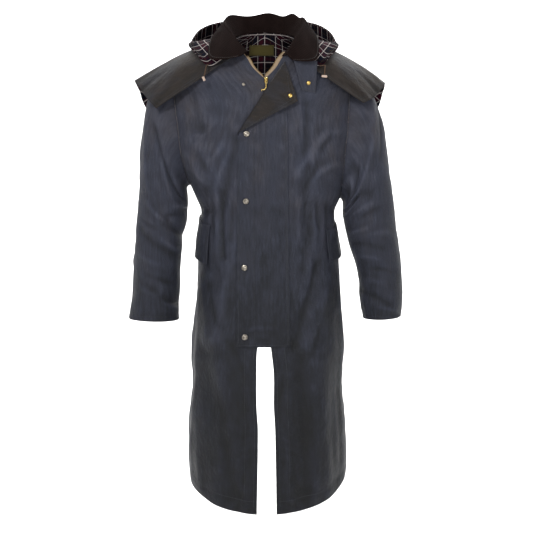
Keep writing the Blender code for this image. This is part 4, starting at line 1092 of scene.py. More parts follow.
def maths(tree, operation, first, second=0.0, third=0.0):
    node = add(tree, "ShaderNodeMath", {"operation": operation})
    for socket, value in zip(node.inputs, (first, second, third)):
        if isinstance(value, bpy.types.NodeSocket):
            tree.links.new(value, socket)
        else:
            socket.default_value = value
    return node.outputs[0]


def new_finish(name):
    material = bpy.data.materials.new(name)
    material.use_nodes = True
    tree = material.node_tree
    return material, tree, tree.nodes["Principled BSDF"]


def on_cloth(tree, scale):
    """The cloth's own UV in metres, stretched by a scale for each direction."""
    place = add(tree, "ShaderNodeUVMap", {"uv_map": "UVMap"}).outputs["UV"]
    return add(
        tree, "ShaderNodeMapping", None, {"Vector": place, "Scale": scale}
    ).outputs["Vector"]


def noise(tree, vector, detail, roughness=0.5, scale=1.0):
    return add(
        tree, "ShaderNodeTexNoise", None,
        {"Vector": vector, "Scale": scale, "Detail": detail, "Roughness": roughness},
    ).outputs["Fac"]


def own_noise(tree, scale, detail):
    """Noise in a piece's own metres, for pieces without a weave."""
    place = add(tree, "ShaderNodeTexCoord").outputs["Object"]
    return noise(tree, place, detail, scale=scale)


def ribs_of(tree, direction, spread, scale, distortion):
    """Even ribs across one direction of the cloth's UV."""
    inputs = {"Vector": on_cloth(tree, spread), "Scale": scale, "Distortion": distortion}
    return add(tree, "ShaderNodeTexWave", {"bands_direction": direction}, inputs).outputs["Fac"]


def spread_over(tree, value, low, high, start, end):
    """A value from low to high, read as start to end."""
    inputs = {"Value": value, "From Min": low, "From Max": high, "To Min": start, "To Max": end}
    return add(tree, "ShaderNodeMapRange", None, inputs).outputs["Result"]


def cloth_value(tree, name):
    """A value that the cloth carries at each of its points."""
    return add(tree, "ShaderNodeAttribute", {"attribute_name": name}).outputs["Fac"]


def blend_colours(tree, share, first, second):
    node = add(tree, "ShaderNodeMix", {"data_type": "RGBA"}, {"Factor": share})
    tree.links.new(first, node.inputs[6])
    tree.links.new(second, node.inputs[7])
    return node.outputs[2]


def relief(tree, shader, rows):
    """Bump from rows of height source and depth in metres."""
    under = None
    for source, depth in rows:
        inputs = {"Height": source, "Distance": depth, "Strength": 1.0}
        if under is not None:
            inputs["Normal"] = under
        under = add(tree, "ShaderNodeBump", None, inputs).outputs["Normal"]
    tree.links.new(under, shader.inputs["Normal"])


NAVY = ("#06070b", "#15171f", "#303340", "#464957")
BROWN = ("#050302", "#0e0b09", "#1b1613", "#2d2622")


def waxed_cotton(name, browning):
    """Cotton drill dressed with wax, with streaks down the cloth, navy turned brown where rain
    and sun reached it, and a low oily shine that breaks up in the creases. Painted shade makes it
    nearly black in the hollows of its folds and painted light makes their ridges pale, together
    with real scuffing of the ridges;
    painted light falloff also makes it darker towards the hem."""
    material, tree, shader = new_finish(name)
    broad = noise(tree, on_cloth(tree, (13, 7, 1)), 4, 0.6)
    streak = noise(tree, on_cloth(tree, (130, 24, 1)), 5, 0.62)
    grain = noise(tree, on_cloth(tree, (620, 420, 1)), 3, 0.6)
    fold_light_and_scuff_value = cloth_value(tree, "fold_light_and_scuff")
    browning_and_height_light_share = cloth_value(tree, "browning_and_height_light")
    shade = maths(tree, "MULTIPLY_ADD", broad, 0.42, -0.01)
    shade = maths(tree, "MULTIPLY_ADD", streak, 0.28, shade)
    shade = maths(tree, "MULTIPLY_ADD", grain, 0.20, shade)
    # Painted shade in fold hollows and painted light on fold ridges, mixed with real scuffing of
    # the ridges
    shade = maths(tree, "MULTIPLY_ADD", fold_light_and_scuff_value, 0.30, shade)
    # Painted light falloff: the cloth painted lighter up high and darker towards the hem
    shade = maths(tree, "MULTIPLY_ADD", browning_and_height_light_share, 0.30, shade)
    places = (0.52, 0.67, 0.87, 1.0)
    brown = maths(tree, "MULTIPLY_ADD", broad, 1.8, browning - 1.0)
    brown = add(tree, "ShaderNodeMath", {"operation": "MULTIPLY_ADD", "use_clamp": True}, {
        0: browning_and_height_light_share, 1: 0.6, 2: brown,
    }).outputs[0]
    colour = blend_colours(
        tree, brown, ramp(tree, shade, list(zip(places, NAVY))),
        ramp(tree, shade, list(zip(places, BROWN))),
    )
    tree.links.new(colour, shader.inputs["Base Color"])
    rough = spread_over(tree, shade, 0.45, 0.95, 0.50, 0.72)
    tree.links.new(rough, shader.inputs["Roughness"])
    # yarns about 0.8 mm apart, drawn at 1.7 mm so that they show at all
    warp = ribs_of(tree, "X", (590, 0, 0), 0.5, 0.6)
    weft = ribs_of(tree, "Y", (0, 590, 0), 0.5, 0.6)
    weave = maths(tree, "ADD", warp, weft)
    crinkle = noise(tree, on_cloth(tree, (95, 60, 1)), 5, 0.6)
    relief(tree, shader, [(crinkle, 0.0026), (weave, 0.00010)])
    shader.inputs["IOR"].default_value = 1.47
    shader.inputs["Specular IOR Level"].default_value = 0.30
    shader.inputs["Sheen Weight"].default_value = 0.03
    shader.inputs["Sheen Roughness"].default_value = 0.5
    return material


def corduroy(name):
    """Cotton corduroy: soft ribs 3 mm apart, drawn at 4 mm, with painted shade darkening the
    valleys between them and painted light on their brushed tops, with no gloss but a faint pile
    sheen."""
    material, tree, shader = new_finish(name)
    ribs = ribs_of(tree, "X", (250, 0, 0), 0.314, 0.0)
    pile = noise(tree, on_cloth(tree, (900, 500, 1)), 3)
    broad = noise(tree, on_cloth(tree, (22, 22, 1)), 3)
    # Painted shade in the valleys between the ribs and painted light on their tops, over random
    # pile and tone
    shade = maths(tree, "MULTIPLY_ADD", ribs, 0.5, maths(tree, "MULTIPLY", pile, 0.3))
    shade = maths(tree, "MULTIPLY_ADD", broad, 0.3, shade)
    colour = ramp(tree, shade, [(0.25, "#0a0605"), (0.6, "#1b1413"), (0.95, "#2c211f")])
    tree.links.new(colour, shader.inputs["Base Color"])
    relief(tree, shader, [(ribs, 0.0007), (pile, 0.0003)])
    shader.inputs["Roughness"].default_value = 0.92
    shader.inputs["Specular IOR Level"].default_value = 0.02
    return material


TARTAN_PITCH = 0.049


def tartan(name):
    """Brushed cotton check of no clan: navy ground with maroon blocks, cream lines in
    pairs and a tan line between, woven as a twill so that crossing colours mingle."""
    material, tree, shader = new_finish(name)
    grounds = [
        (0.00, "#0b0d19"), (0.12, "#33101a"), (0.32, "#0b0d19"), (0.68, "#3e2d20"),
        (0.71, "#090a11"), (0.91, "#1d0c13"),
    ]
    lines = [(0.00, "#ffffff"), (0.04, "#000000"), (0.385, "#ffffff"), (0.425, "#000000")]
    parts = add(
        tree, "ShaderNodeSeparateXYZ", None,
        {"Vector": on_cloth(tree, (1 / TARTAN_PITCH, 1 / TARTAN_PITCH, 1))},
    ).outputs
    places = [maths(tree, "FRACT", parts[axis]) for axis in ("X", "Y")]
    # twill lines of 1.4 mm, coarser than the real ones
    parts = add(
        tree, "ShaderNodeSeparateXYZ", None, {"Vector": on_cloth(tree, (700, 700, 1))}
    ).outputs
    slant = maths(tree, "FRACT", maths(tree, "ADD", parts["X"], parts["Y"]))
    over = maths(tree, "GREATER_THAN", slant, 0.5)
    ground = blend_colours(tree, over, *[ramp(tree, at, grounds, "CONSTANT") for at in places])
    across, along = [ramp(tree, at, lines, "CONSTANT") for at in places]
    either = maths(tree, "MAXIMUM", across, along)
    cream = maths(tree, "MULTIPLY_ADD", either, 0.46, maths(
        tree, "MULTIPLY", maths(tree, "MULTIPLY", across, along), 0.4
    ))
    check = blend_colours(
        tree, cream, ground, ramp(tree, either, [(0.0, "#0d0f19"), (0.5, "#d6cbc6")], "CONSTANT")
    )
    fuzz = noise(tree, on_cloth(tree, (400, 400, 1)), 3)
    dim = spread_over(tree, fuzz, 0.3, 0.7, 0.82, 1.12)
    toned = add(
        tree, "ShaderNodeVectorMath", {"operation": "SCALE"}, {0: check, "Scale": dim}
    ).outputs["Vector"]
    tree.links.new(toned, shader.inputs["Base Color"])
    relief(tree, shader, [(slant, 0.00012), (fuzz, 0.0003)])
    shader.inputs["Roughness"].default_value = 0.88
    shader.inputs["Specular IOR Level"].default_value = 0.05
    return material


def woven_tape(name, colour, pale, pitch, ribs):
    """Woven tape or label: fine ribs in one colour with a slightly paler thread."""
    material, tree, shader = new_finish(name)
    scale = 1 / pitch
    lines = ribs_of(tree, ribs, (scale, scale, 0), 0.314, 0.3)
    grain = noise(tree, on_cloth(tree, (900, 900, 1)), 3)
    shade = maths(tree, "MULTIPLY_ADD", lines, 0.5, maths(tree, "MULTIPLY", grain, 0.6))
    tree.links.new(ramp(tree, shade, [(0.25, colour), (0.85, pale)]), shader.inputs["Base Color"])
    relief(tree, shader, [(lines, 0.0002), (grain, 0.0002)])
    shader.inputs["Roughness"].default_value = 0.82
    return material


def worn_metal(name, colour, dull, roughness):
    """Plated or solid metal hardware, bright and dull in uneven patches, with fine scratches."""
    material, tree, shader = new_finish(name)
    patch = own_noise(tree, 420.0, 3.0)
    scratch = own_noise(tree, 2600.0, 2.0)
    tree.links.new(ramp(tree, patch, [(0.35, dull), (0.62, colour)]), shader.inputs["Base Color"])
    rough = spread_over(tree, patch, 0.3, 0.7, roughness + 0.12, roughness)
    tree.links.new(rough, shader.inputs["Roughness"])
    relief(tree, shader, [(scratch, 0.00005)])
    shader.inputs["Metallic"].default_value = 1.0
    return material


def plain_grain(name, colour, pale, roughness, grain_size, depth):
    """Thread, cord yarn or moulded ends: a fine uneven grain in one colour."""
    material, tree, shader = new_finish(name)
    grain = own_noise(tree, 1 / grain_size, 3.0)
    tree.links.new(ramp(tree, grain, [(0.3, colour), (0.7, pale)]), shader.inputs["Base Color"])
    relief(tree, shader, [(grain, depth)])
    shader.inputs["Roughness"].default_value = roughness
    return material


WAXED = waxed_cotton("waxed_cotton_navy", -0.15)
WAXED_BROWN = waxed_cotton("waxed_cotton_weathered", 0.45)
CORD_CLOTH = corduroy("cotton_corduroy")
TARTAN = tartan("tartan_brushed_cotton")
LABEL = woven_tape("woven_label_cloth", "#3a330e", "#5e5420", 0.0016, "Y")
ZIP_TAPE = woven_tape("woven_zip_tape", "#7a674c", "#a8927a", 0.0018, "Y")
BRASS = worn_metal("brass_zip", "#ecd38a", "#a8812f", 0.22)
DULL_BRASS = worn_metal("dull_brass_teeth", "#a08a62", "#5e4c30", 0.45)
NICKEL = worn_metal("antique_nickel", "#b8b0a4", "#443f39", 0.28)
THREAD = plain_grain("polyester_thread", "#16181d", "#2f3137", 0.7, 0.0012, 0.0001)
DARK_THREAD = plain_grain("dark_thread", "#191513", "#2c2623", 0.7, 0.0012, 0.0001)
CORD_YARN = plain_grain("braided_cord_yarn", "#2a1c12", "#523a26", 0.85, 0.0009, 0.0002)
CREAM_TIP = plain_grain("moulded_cord_end", "#a08878", "#c4afa0", 0.45, 0.004, 0.00008)


# Making the pieces

LINE_STEPS = 240
# Rain and sun have browned the wax, and painted light falloff makes the cloth darker towards the
# hem and lighter towards the shoulders: both from none to full over these heights
BROWNING_AND_LIGHT_Z = (-1.10, -0.10)


def stops(*spans):
    """Places of grid lines from spans of start, end and number of cells."""
    places = [np.linspace(start, end, cells + 1)[:-1] for start, end, cells in spans]
    return np.concatenate(places + [[spans[-1][1]]])


# Fold shape for the cloth's colour: painted light on ridges and painted shade in hollows, with
# real scuffing of the ridges
def fold_light_and_scuff_of(points, column, row, inner, across, along, tube):
    """Where the cloth stands out (above 0.5) or is hollow, for each point."""
    face = np.zeros((across + 1, along + 1, 3))
    back = np.zeros_like(face)
    face[column[~inner], row[~inner]] = points[~inner]
    back[column[inner], row[inner]] = points[inner]
    if tube:
        face[across] = face[0]
        back[across] = back[0]
    outwards = unit(face - back)
    total = np.zeros((across + 1, along + 1))
    for reach in (2, 5):
        padded = np.pad(face, ((0, 0), (reach, reach), (0, 0)), "reflect", reflect_type="odd")
        if tube:
            padded = np.concatenate((padded[-reach - 1:-1], padded, padded[1:reach + 1]))
        else:
            padded = np.pad(
                padded, ((reach, reach), (0, 0), (0, 0)), "reflect", reflect_type="odd"
            )
        near = (
            padded[reach:-reach, :-2 * reach] + padded[reach:-reach, 2 * reach:]
            + padded[:-2 * reach, reach:-reach] + padded[2 * reach:, reach:-reach]
        ) / 4
        total += np.sum((face - near) * outwards, axis=-1) / reach ** 1.5
    fold_light_and_scuff = 0.5 + 0.5 * np.tanh(900 * total)
    return fold_light_and_scuff[column, row]


def weave_lengths(columns, rows, place, from_top, level):
    """Distances across and along a piece at its grid points, which the weave follows.

    They are counted from the first row or from the top one, and across each row by
    itself, from its middle, where the weave lies level.
    """
    u, v = np.meshgrid(columns, rows, indexing="ij")
    points = place(u.ravel(), v.ravel(), np.zeros(u.size)).reshape(*u.shape, 3)
    across = np.linalg.norm(np.diff(points, axis=0), axis=2)
    along = np.linalg.norm(np.diff(points, axis=1), axis=2)
    if not level:
        across = np.broadcast_to(across.mean(axis=1)[:, None], (len(across), len(rows)))
    across = np.concatenate((np.zeros((1, len(rows))), np.cumsum(across, axis=0)))
    along = np.concatenate((np.zeros((len(columns), 1)), np.cumsum(along, axis=1)), axis=1)
    if level:
        across = across - across[len(columns) // 2]
    if from_top:
        along = along - along[:, -1:]
    return across, along


def wall(
    name, columns, rows, place, thickness, finishes, tube=False, from_top=False, level=False
):
    """A closed cloth wall over place(u, v, out), with its outside and inside finish."""
    across = len(columns) - 1
    along = len(rows) - 1
    mesh = bmesh.new()
    bmesh.ops.create_grid(mesh, x_segments=across, y_segments=along, size=0.5)
    one_layer = mesh.verts[:] + mesh.edges[:] + mesh.faces[:]
    made = bmesh.ops.extrude_face_region(mesh, geom=one_layer, use_keep_orig=True)
    second = [item for item in made["geom"] if isinstance(item, bmesh.types.BMVert)]
    bmesh.ops.translate(mesh, vec=(0, 0, 1), verts=second)
    if tube:
        ends = [
            face for face in mesh.faces
            if abs(face.normal.x) > 0.9 or all(abs(abs(v.co.x) - 0.5) < 1e-5 for v in face.verts)
        ]
        bmesh.ops.delete(mesh, geom=ends, context="FACES")
    data = bpy.data.meshes.new(name)
    mesh.to_mesh(data)
    mesh.free()

    grid = np.empty(len(data.vertices) * 3)
    data.vertices.foreach_get("co", grid)
    grid = grid.reshape(-1, 3)
    column = np.rint((grid[:, 0] + 0.5) * across).astype(int)
    row = np.rint((grid[:, 1] + 0.5) * along).astype(int)
    inner = grid[:, 2] > 0.5
    u = columns[column]
    v = rows[row]
    lengths = weave_lengths(columns, rows, place, from_top, level)
    wide = np.ptp(lengths[0], axis=0).mean()
    tall = np.ptp(lengths[1], axis=1).mean()
    inside_edge = np.minimum(v, 1 - v) * tall
    if not tube:
        inside_edge = np.minimum(inside_edge, np.minimum(u, 1 - u) * wide)
    roundness = np.clip(1 - inside_edge / (0.7 * thickness), 0, 1)
    rolled = 0.75 * (1 - np.sqrt(1 - roundness ** 2)) * thickness / 2
    out = np.where(inner, -thickness + rolled, -rolled)
    if tube:
        u = np.where(column == across, columns[0], u)
    points = place(u, v, out)
    data.vertices.foreach_set("co", points.ravel())
    # Painted shade in the hollows of folds and painted light on their ridges, together with
    # scuffing of the ridges
    fold_light_and_scuff = fold_light_and_scuff_of(points, column, row, inner, across, along, tube)
    data.attributes.new("fold_light_and_scuff", "FLOAT", "POINT").data.foreach_set("value", fold_light_and_scuff)
    # Browning of the wax by rain and sun, and painted light falloff: the cloth painted darker
    # towards the hem
    browning_and_height_light = ease((points[:, 2] - BROWNING_AND_LIGHT_Z[0]) / (BROWNING_AND_LIGHT_Z[1] - BROWNING_AND_LIGHT_Z[0]))
    data.attributes.new("browning_and_height_light", "FLOAT", "POINT").data.foreach_set("value", browning_and_height_light)
    corner = np.empty(len(data.loops), int)
    data.loops.foreach_get("vertex_index", corner)
    uv = np.stack([length[column[corner], row[corner]] for length in lengths], axis=-1)
    data.uv_layers.new(name="UVMap").data.foreach_set("uv", uv.ravel())
    for finish in finishes:
        data.materials.append(finish)
    if len(finishes) > 1:
        inside = inner[corner.reshape(-1, 4)].all(axis=1)
        data.polygons.foreach_set("material_index", inside.astype(int))

    mesh = bmesh.new()
    mesh.from_mesh(data)
    if tube:
        bmesh.ops.remove_doubles(mesh, verts=mesh.verts[:], dist=1e-7)
    bmesh.ops.recalc_face_normals(mesh, faces=mesh.faces[:])
    mesh.to_mesh(data)
    mesh.free()
    data.shade_smooth()
    data.set_sharp_from_angle(angle=math.radians(48))
    piece = linked(name, data)
    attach(piece, "coat")
    return piece


def linked(name, data):
    thing = bpy.data.objects.new(name, data)
    bpy.context.scene.collection.objects.link(thing)
    return thing


def add_piece(name, mesh, finish, smooth=40):
    """A finished piece from an edited mesh."""
    data = bpy.data.meshes.new(name)
    mesh.to_mesh(data)
    mesh.free()
    data.shade_smooth()
    data.set_sharp_from_angle(angle=math.radians(smooth))
    data.materials.append(finish)
    piece = linked(name, data)
    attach(piece, "coat")
    return piece


def line_on(place, start, end):
    """Points of a piece's outer face and their normals between two places of the piece."""
    share = np.linspace(0, 1, LINE_STEPS)
    u = mix(start[0], end[0], share)
    v = mix(start[1], end[1], share)
    points = place(u, v, np.zeros(LINE_STEPS))
    raised = place(u, v, np.full(LINE_STEPS, MM))
    return points, unit(raised - points)


def along_line(points, normals, pitch):
    """Places, directions and normals at even distances along a line of points."""
    lengths = np.linalg.norm(np.diff(points, axis=0), axis=1)
    distance = np.concatenate(([0], np.cumsum(lengths)))
    count = max(int(distance[-1] / pitch), 1)
    at = (np.arange(count) + 0.5) * distance[-1] / count

    def look(values, where):
        return np.stack([np.interp(where, distance, column) for column in values.T], axis=-1)

    heading = unit(look(points, at + pitch / 4) - look(points, at - pitch / 4))
    return look(points, at), heading, unit(look(normals, at))


def add_boxes(mesh, points, headings, normals, size, lift):
    """Small boxes on a surface, each along its heading."""
    long, wide, thick = size
    for point, heading, normal in zip(points, headings, normals):
        side = np.cross(normal, heading)
        turn = Matrix.Identity(4)
        for index, (axis, scale) in enumerate(((heading, long), (side, wide), (normal, thick))):
            turn.col[index] = (*(axis * scale), 0.0)
        turn.col[3] = (*(point + normal * lift), 1.0)
        bmesh.ops.create_cube(mesh, size=1.0, matrix=turn)


def inner_face(place, thickness):
    """The inner face of a layer of cloth, for stitches that show there."""
    def shown(u, v, out):
        return place(u, v, -thickness - np.asarray(out))
    return shown


def stitching(name, rows, finish=THREAD):
    """One piece with rows of stitches; a row is a place function, its start and its end."""
    mesh = bmesh.new()
    for place, start, end in rows:
        points, normals = line_on(place, start, end)
        spots = along_line(points, normals, STITCH_PITCH)
        add_boxes(mesh, *spots, STITCH_SIZE, STITCH_SIZE[2] * 0.15)
    return add_piece(f"stitching_{name}", mesh, finish)


def turned(name, profile, finish, point, normal, steps=32):
    """A round piece turned from rows of radius and height, seated on a point."""
    mesh = bmesh.new()
    corners = [mesh.verts.new((radius, 0, height)) for radius, height in profile]
    lines = [mesh.edges.new(pair) for pair in zip(corners, corners[1:])]
    bmesh.ops.spin(
        mesh, geom=corners + lines, cent=(0, 0, 0), axis=(0, 0, 1),
        angle=2 * math.pi, steps=steps, use_merge=True,
    )
    bmesh.ops.remove_doubles(mesh, verts=mesh.verts[:], dist=1e-6)
    bmesh.ops.recalc_face_normals(mesh, faces=mesh.faces[:])
    upright = Vector(normal).to_track_quat("Z", "Y").to_matrix().to_4x4()
    seat = Matrix.Translation(Vector(point)) @ upright
    bmesh.ops.transform(mesh, matrix=seat, verts=mesh.verts[:])
    return add_piece(name, mesh, finish, 30)


def fitting(name, node, slot, *shape):
    """A turned piece that stands for a solid; shape is what turned() takes after a name."""
    piece = turned(name, *shape)
    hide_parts(node)
    return piece


def one(value):
    return np.array([float(value)])


def make_camera_and_light():
    data = bpy.data.cameras.new("camera")
    data.lens = CAMERA_LENS
    data.sensor_width = 36.0
    camera = linked("camera", data)
    camera.location = CAMERA_PLACE
    camera.rotation_euler = (math.radians(90 - CAMERA_PITCH), 0, 0)
    bpy.context.scene.camera = camera

    world = bpy.data.worlds.new("studio")
    world.use_nodes = True
    background = world.node_tree.nodes["Background"]
    background.inputs["Color"].default_value = (1.0, 1.0, 1.0, 1.0)
    background.inputs["Strength"].default_value = 0.38
    bpy.context.scene.world = world
    bpy.context.scene.view_settings.view_transform = "Standard"
    lights = [
        # name, place, aim, width, height, watts
        ("key", (-1.5, -3.0, 1.5), (0.0, 0.0, -0.30), 1.0, 1.0, 77.0),
        ("front", (0.30, -1.35, -0.28), (0.05, 0.0, -0.36), 0.5, 0.7, 4.6),
        ("fill", (2.6, -2.6, 0.4), (0.0, 0.0, -0.55), 1.4, 1.8, 12.0),
        ("top", (0.1, -0.5, 2.3), (0.0, 0.0, -0.20), 1.6, 1.0, 9.0),
        ("rim", (1.6, 2.0, 1.2), (0.0, 0.0, -0.50), 1.0, 1.4, 16.0),
        ("backdrop", (0.0, 1.5, 2.1), (0.0, 3.3, -0.9), 4.0, 1.2, 250.0),
    ]
    for name, place, aim, wide, tall, watts in lights:
        lamp = bpy.data.lights.new(name, "AREA")
        lamp.shape = "RECTANGLE"
        lamp.size = wide
        lamp.size_y = tall
        lamp.energy = watts
        light = linked(name, lamp)
        light.location = place
        light.visible_camera = False
        light.rotation_euler = (Vector(aim) - Vector(place)).to_track_quat("-Z", "Y").to_euler()


def make_floor():
    """A pale floor that bends up into the backdrop."""
    mesh = bmesh.new()
    bmesh.ops.create_grid(mesh, x_segments=2, y_segments=40, size=0.5)
    bend = 1.5
    for vert in mesh.verts:
        along = (vert.co.y + 0.5) * 16.0 - 9.0
        turn = min(max(along / bend, 0.0), math.pi / 2)
        beyond = max(along - bend * math.pi / 2, 0.0)
        y = 2.2 + (along if along < 0 else bend * math.sin(turn))
        vert.co = (vert.co.x * 18.0, y, FLOOR_Z + bend * (1 - math.cos(turn)) + beyond)
    data = bpy.data.meshes.new("studio_floor")
    mesh.to_mesh(data)
    mesh.free()
    data.shade_smooth()
    paper, tree, shader = new_finish("studio_paper")
    grain = own_noise(tree, 40.0, 2.0)
    colour = ramp(tree, grain, [(0.3, "#f4f4f4"), (0.7, "#f7f7f7")])
    tree.links.new(colour, shader.inputs["Base Color"])
    shader.inputs["Roughness"].default_value = 0.9
    data.materials.append(paper)
    linked("studio_floor", data)


def cord_skin(keys, route, length, u, v):
    """Points round a braided cord: u round it and v along it."""
    middle = smooth_between(keys, route, v)
    ahead = smooth_between(keys, route, np.minimum(v + 0.02, 1))
    behind = smooth_between(keys, route, np.maximum(v - 0.02, 0))
    heading = unit(ahead - behind)
    across = unit(np.cross(heading, np.array((1.0, 0, 0))))
    other = np.cross(heading, across)
    turn = 2 * math.pi * u
    strand = np.abs(np.sin(4 * turn + v * length * BRAID))
    strand = np.maximum(strand, np.abs(np.sin(4 * turn - v * length * BRAID)))
    end = np.minimum(v, 1 - v) * length
    radius = CORD_RADIUS * (0.90 + 0.10 * strand)
    radius = radius * np.sqrt(np.clip(0.25 + end / CORD_RADIUS, 0, 1))
    ring = across * np.cos(turn)[:, None] + other * np.sin(turn)[:, None]
    return middle + ring * radius[:, None]


def make_cords():
    """The two free ends of the hood cord, braided, each with its moulded end."""
    for side, word in WORDS.items():
        route = np.array(CORDS[side])
        keys = np.linspace(0, 1, len(route))
        rows = np.linspace(0, 1, 61)
        centre = smooth_between(keys, route, rows)
        length = np.linalg.norm(np.diff(centre, axis=0), axis=1).sum()

        mesh = bmesh.new()
        bmesh.ops.create_grid(mesh, x_segments=24, y_segments=60, size=0.5)
        corners = mesh.verts[:]
        u = np.array([vert.co.x + 0.5 for vert in corners])
        v = np.array([vert.co.y + 0.5 for vert in corners])
        u = np.where(u > 1 - 1e-5, 0.0, u)
        for vert, point in zip(corners, cord_skin(keys, route, length, u, v)):
            vert.co = point
        bmesh.ops.remove_doubles(mesh, verts=mesh.verts[:], dist=1e-7)
        bmesh.ops.holes_fill(mesh, edges=mesh.edges[:], sides=0)
        bmesh.ops.recalc_face_normals(mesh, faces=mesh.faces[:])
        cord = add_piece(f"hood_cord_end_{word}", mesh, CORD_YARN, 60)
        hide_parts(f"hood_cord_{word}")

        long, radius, degrees = TOGGLES[side]
        heading = unit(route[-1] - route[-2])
        turn = math.radians(degrees)
        axis = (math.sin(turn), 0, -math.cos(turn))
        reach = radius + GAP if degrees > 45 else long / 2 + GAP
        profile = [
            # radius, height
            (0.0, -long / 2), (0.45 * radius, -0.49 * long), (0.80 * radius, -0.45 * long),
            (radius, -0.36 * long), (0.94 * radius, 0.0), (radius, 0.36 * long),
            (0.80 * radius, 0.45 * long), (0.45 * radius, 0.49 * long), (0.0, long / 2),
        ]
        toggle = fitting(
            f"cord_end_{word}", f"cord_toggle_{word}", "cord_toggle", profile, CREAM_TIP,
            route[-1] + heading * reach, axis, 24,
        )


def declare(node):
    """Hide the solid that a cloth piece stands for."""
    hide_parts(node)


def make_panels():
    columns = stops((0, 0.008, 2), (0.008, 0.14, 12), (0.14, 0.97, 50), (0.97, 1, 3))
    rises = stops((0, 0.002, 2), (0.002, 0.045, 9), (0.045, 1, 132))
    below = rises ** (1 / ROW_CROWDING) * ARMPIT_ROW
    above = ARMPIT_ROW + stops((0, 0.985, 64), (0.985, 1, 2)) * (1 - ARMPIT_ROW)
    rows = np.concatenate((below[:-1], above))
    for side, word in WORDS.items():
        for face in ("front", "back"):
            place = partial(panel, side, face)
            name = f"{face}_{word}"
            piece = wall(f"{name}_cloth", columns, rows, place, SHELL, (WAXED, TARTAN))
            lines = [
                (place, (0.030, 0.004), (0.030, 0.995)),
                (place, (0.110, 0.012), (0.110, 0.93)),
            ]
            if face == "back":
                lines = [
                    (place, (0.020, 0.004), (0.020, 0.80)),
                    (place, (0.985, 0.004), (0.985, ARMPIT_ROW)),
                ]
            lines.append((place, (0.02, 0.0082), (0.98, 0.0082)))
            lines.append((place, (0.965, ARMPIT_ROW + 0.01), (0.965, 0.97)))
            thread = stitching(name, lines)
            declare(name)


def make_sleeves():
    columns = stops((0, 1, 104))
    rows = stops((0, 0.01, 2), (0.01, 0.96, 112), (0.96, 0.996, 8), (0.996, 1, 2))
    for side, word in WORDS.items():
        place = partial(sleeve, side)
        piece = wall(
            f"sleeve_{word}_cloth", columns, rows, place, SHELL, (WAXED, TARTAN), tube=True,
        )
        lines = [
            (place, (0.0, CUFF_BAND), (1.0, CUFF_BAND)),
            (place, (0.0, 0.995), (1.0, 0.995)),
            (place, (0.47, 0.06), (0.47, 0.97)),
        ]
        thread = stitching(f"sleeve_{word}", lines)
        declare(
            f"sleeve_{word}"
        )


def make_cape():
    columns = stops(
        (0, 0.002, 2), (0.002, 0.012, 4), (0.012, 0.988, 196), (0.988, 0.998, 4), (0.998, 1, 2)
    )
    rows = stops((0, 0.92, 44), (0.92, 0.99, 6), (0.99, 1, 2))
    piece = wall("cape_cloth", columns, rows, cape_cloth, SHELL, (WAXED_BROWN, TARTAN))
    lines = []
    for edge, row in ((0.0030, 0.985), (0.0092, 0.950)):
        lines += [
            (cape_cloth, (edge, 0.20), (edge, row)),
            (cape_cloth, (edge, row), (1 - edge, row)),
            (cape_cloth, (1 - edge, row), (1 - edge, 0.20)),
        ]
    thread = stitching("cape", lines)
    declare("cape")


def make_hood():
    columns = stops((0, 0.003, 2), (0.003, 0.997, 150), (0.997, 1, 2))
    rows = stops((0, 0.9, 44), (0.9, 0.99, 8), (0.99, 1, 2))
    piece = wall("hood_cloth", columns, rows, hood, SHELL, (WAXED_BROWN, TARTAN), from_top=True)
    lines = [
        (hood, (0.006, RIM_BAND), (0.994, RIM_BAND)),
        (hood, (0.497, 0.45), (0.497, 0.92)),
        (hood, (0.503, 0.45), (0.503, 0.92)),
    ]
    thread = stitching("hood", lines)
    declare("hood")

    def lining(u, v, out):
        rise = mix(0.3, 0.995, v)
        room = mix(1.5 * EASE, GAP, ease((v - 0.9) / 0.1))
        return hood(mix(1 / 40, 39 / 40, u), rise, out - SHELL - room - BAND_RISE)

    piece = wall(
        "hood_lining_cloth", stops((0, 1, 140)), stops((0, 1, 40)), lining, LINING, (TARTAN,),
        from_top=True,
    )
    hem = (inner_face(lining, LINING), (0.01, 0.90), (0.99, 0.90))
    thread = stitching("hood_lining", [hem], DARK_THREAD)
    declare("hood_lining")


def make_collar():
    columns = stops((0, 0.003, 2), (0.003, 0.997, 220), (0.997, 1, 2))
    rows = stops((0, 0.38, 18), (0.38, 0.56, 18), (0.56, 0.985, 26), (0.985, 1, 3))
    piece = wall("collar_cloth", columns, rows, collar, CORDUROY, (CORD_CLOTH,))
    edge = (inner_face(collar, CORDUROY), (0.012, 0.965), (0.988, 0.965))
    thread = stitching("collar", [edge], DARK_THREAD)
    declare("collar")


def make_neck_inside():
    piece = wall(
        "back_lining_cloth", stops((0, 1, 56)), stops((0, 1, 44)), back_lining, LINING, (TARTAN,),
        level=True,
    )
    declare("back_lining")
    piece = wall(
        "neck_label_cloth", stops((0, 1, 40)), stops((0, 1, 18)), label, LABEL_CLOTH, (LABEL,),
    )
    face = inner_face(label, LABEL_CLOTH)
    corners = [(0.03, 0.07), (0.97, 0.07), (0.97, 0.93), (0.03, 0.93), (0.03, 0.07)]
    lines = [(face, *pair) for pair in zip(corners, corners[1:])]
    thread = stitching("label", lines, DARK_THREAD)
    declare("neck_label")


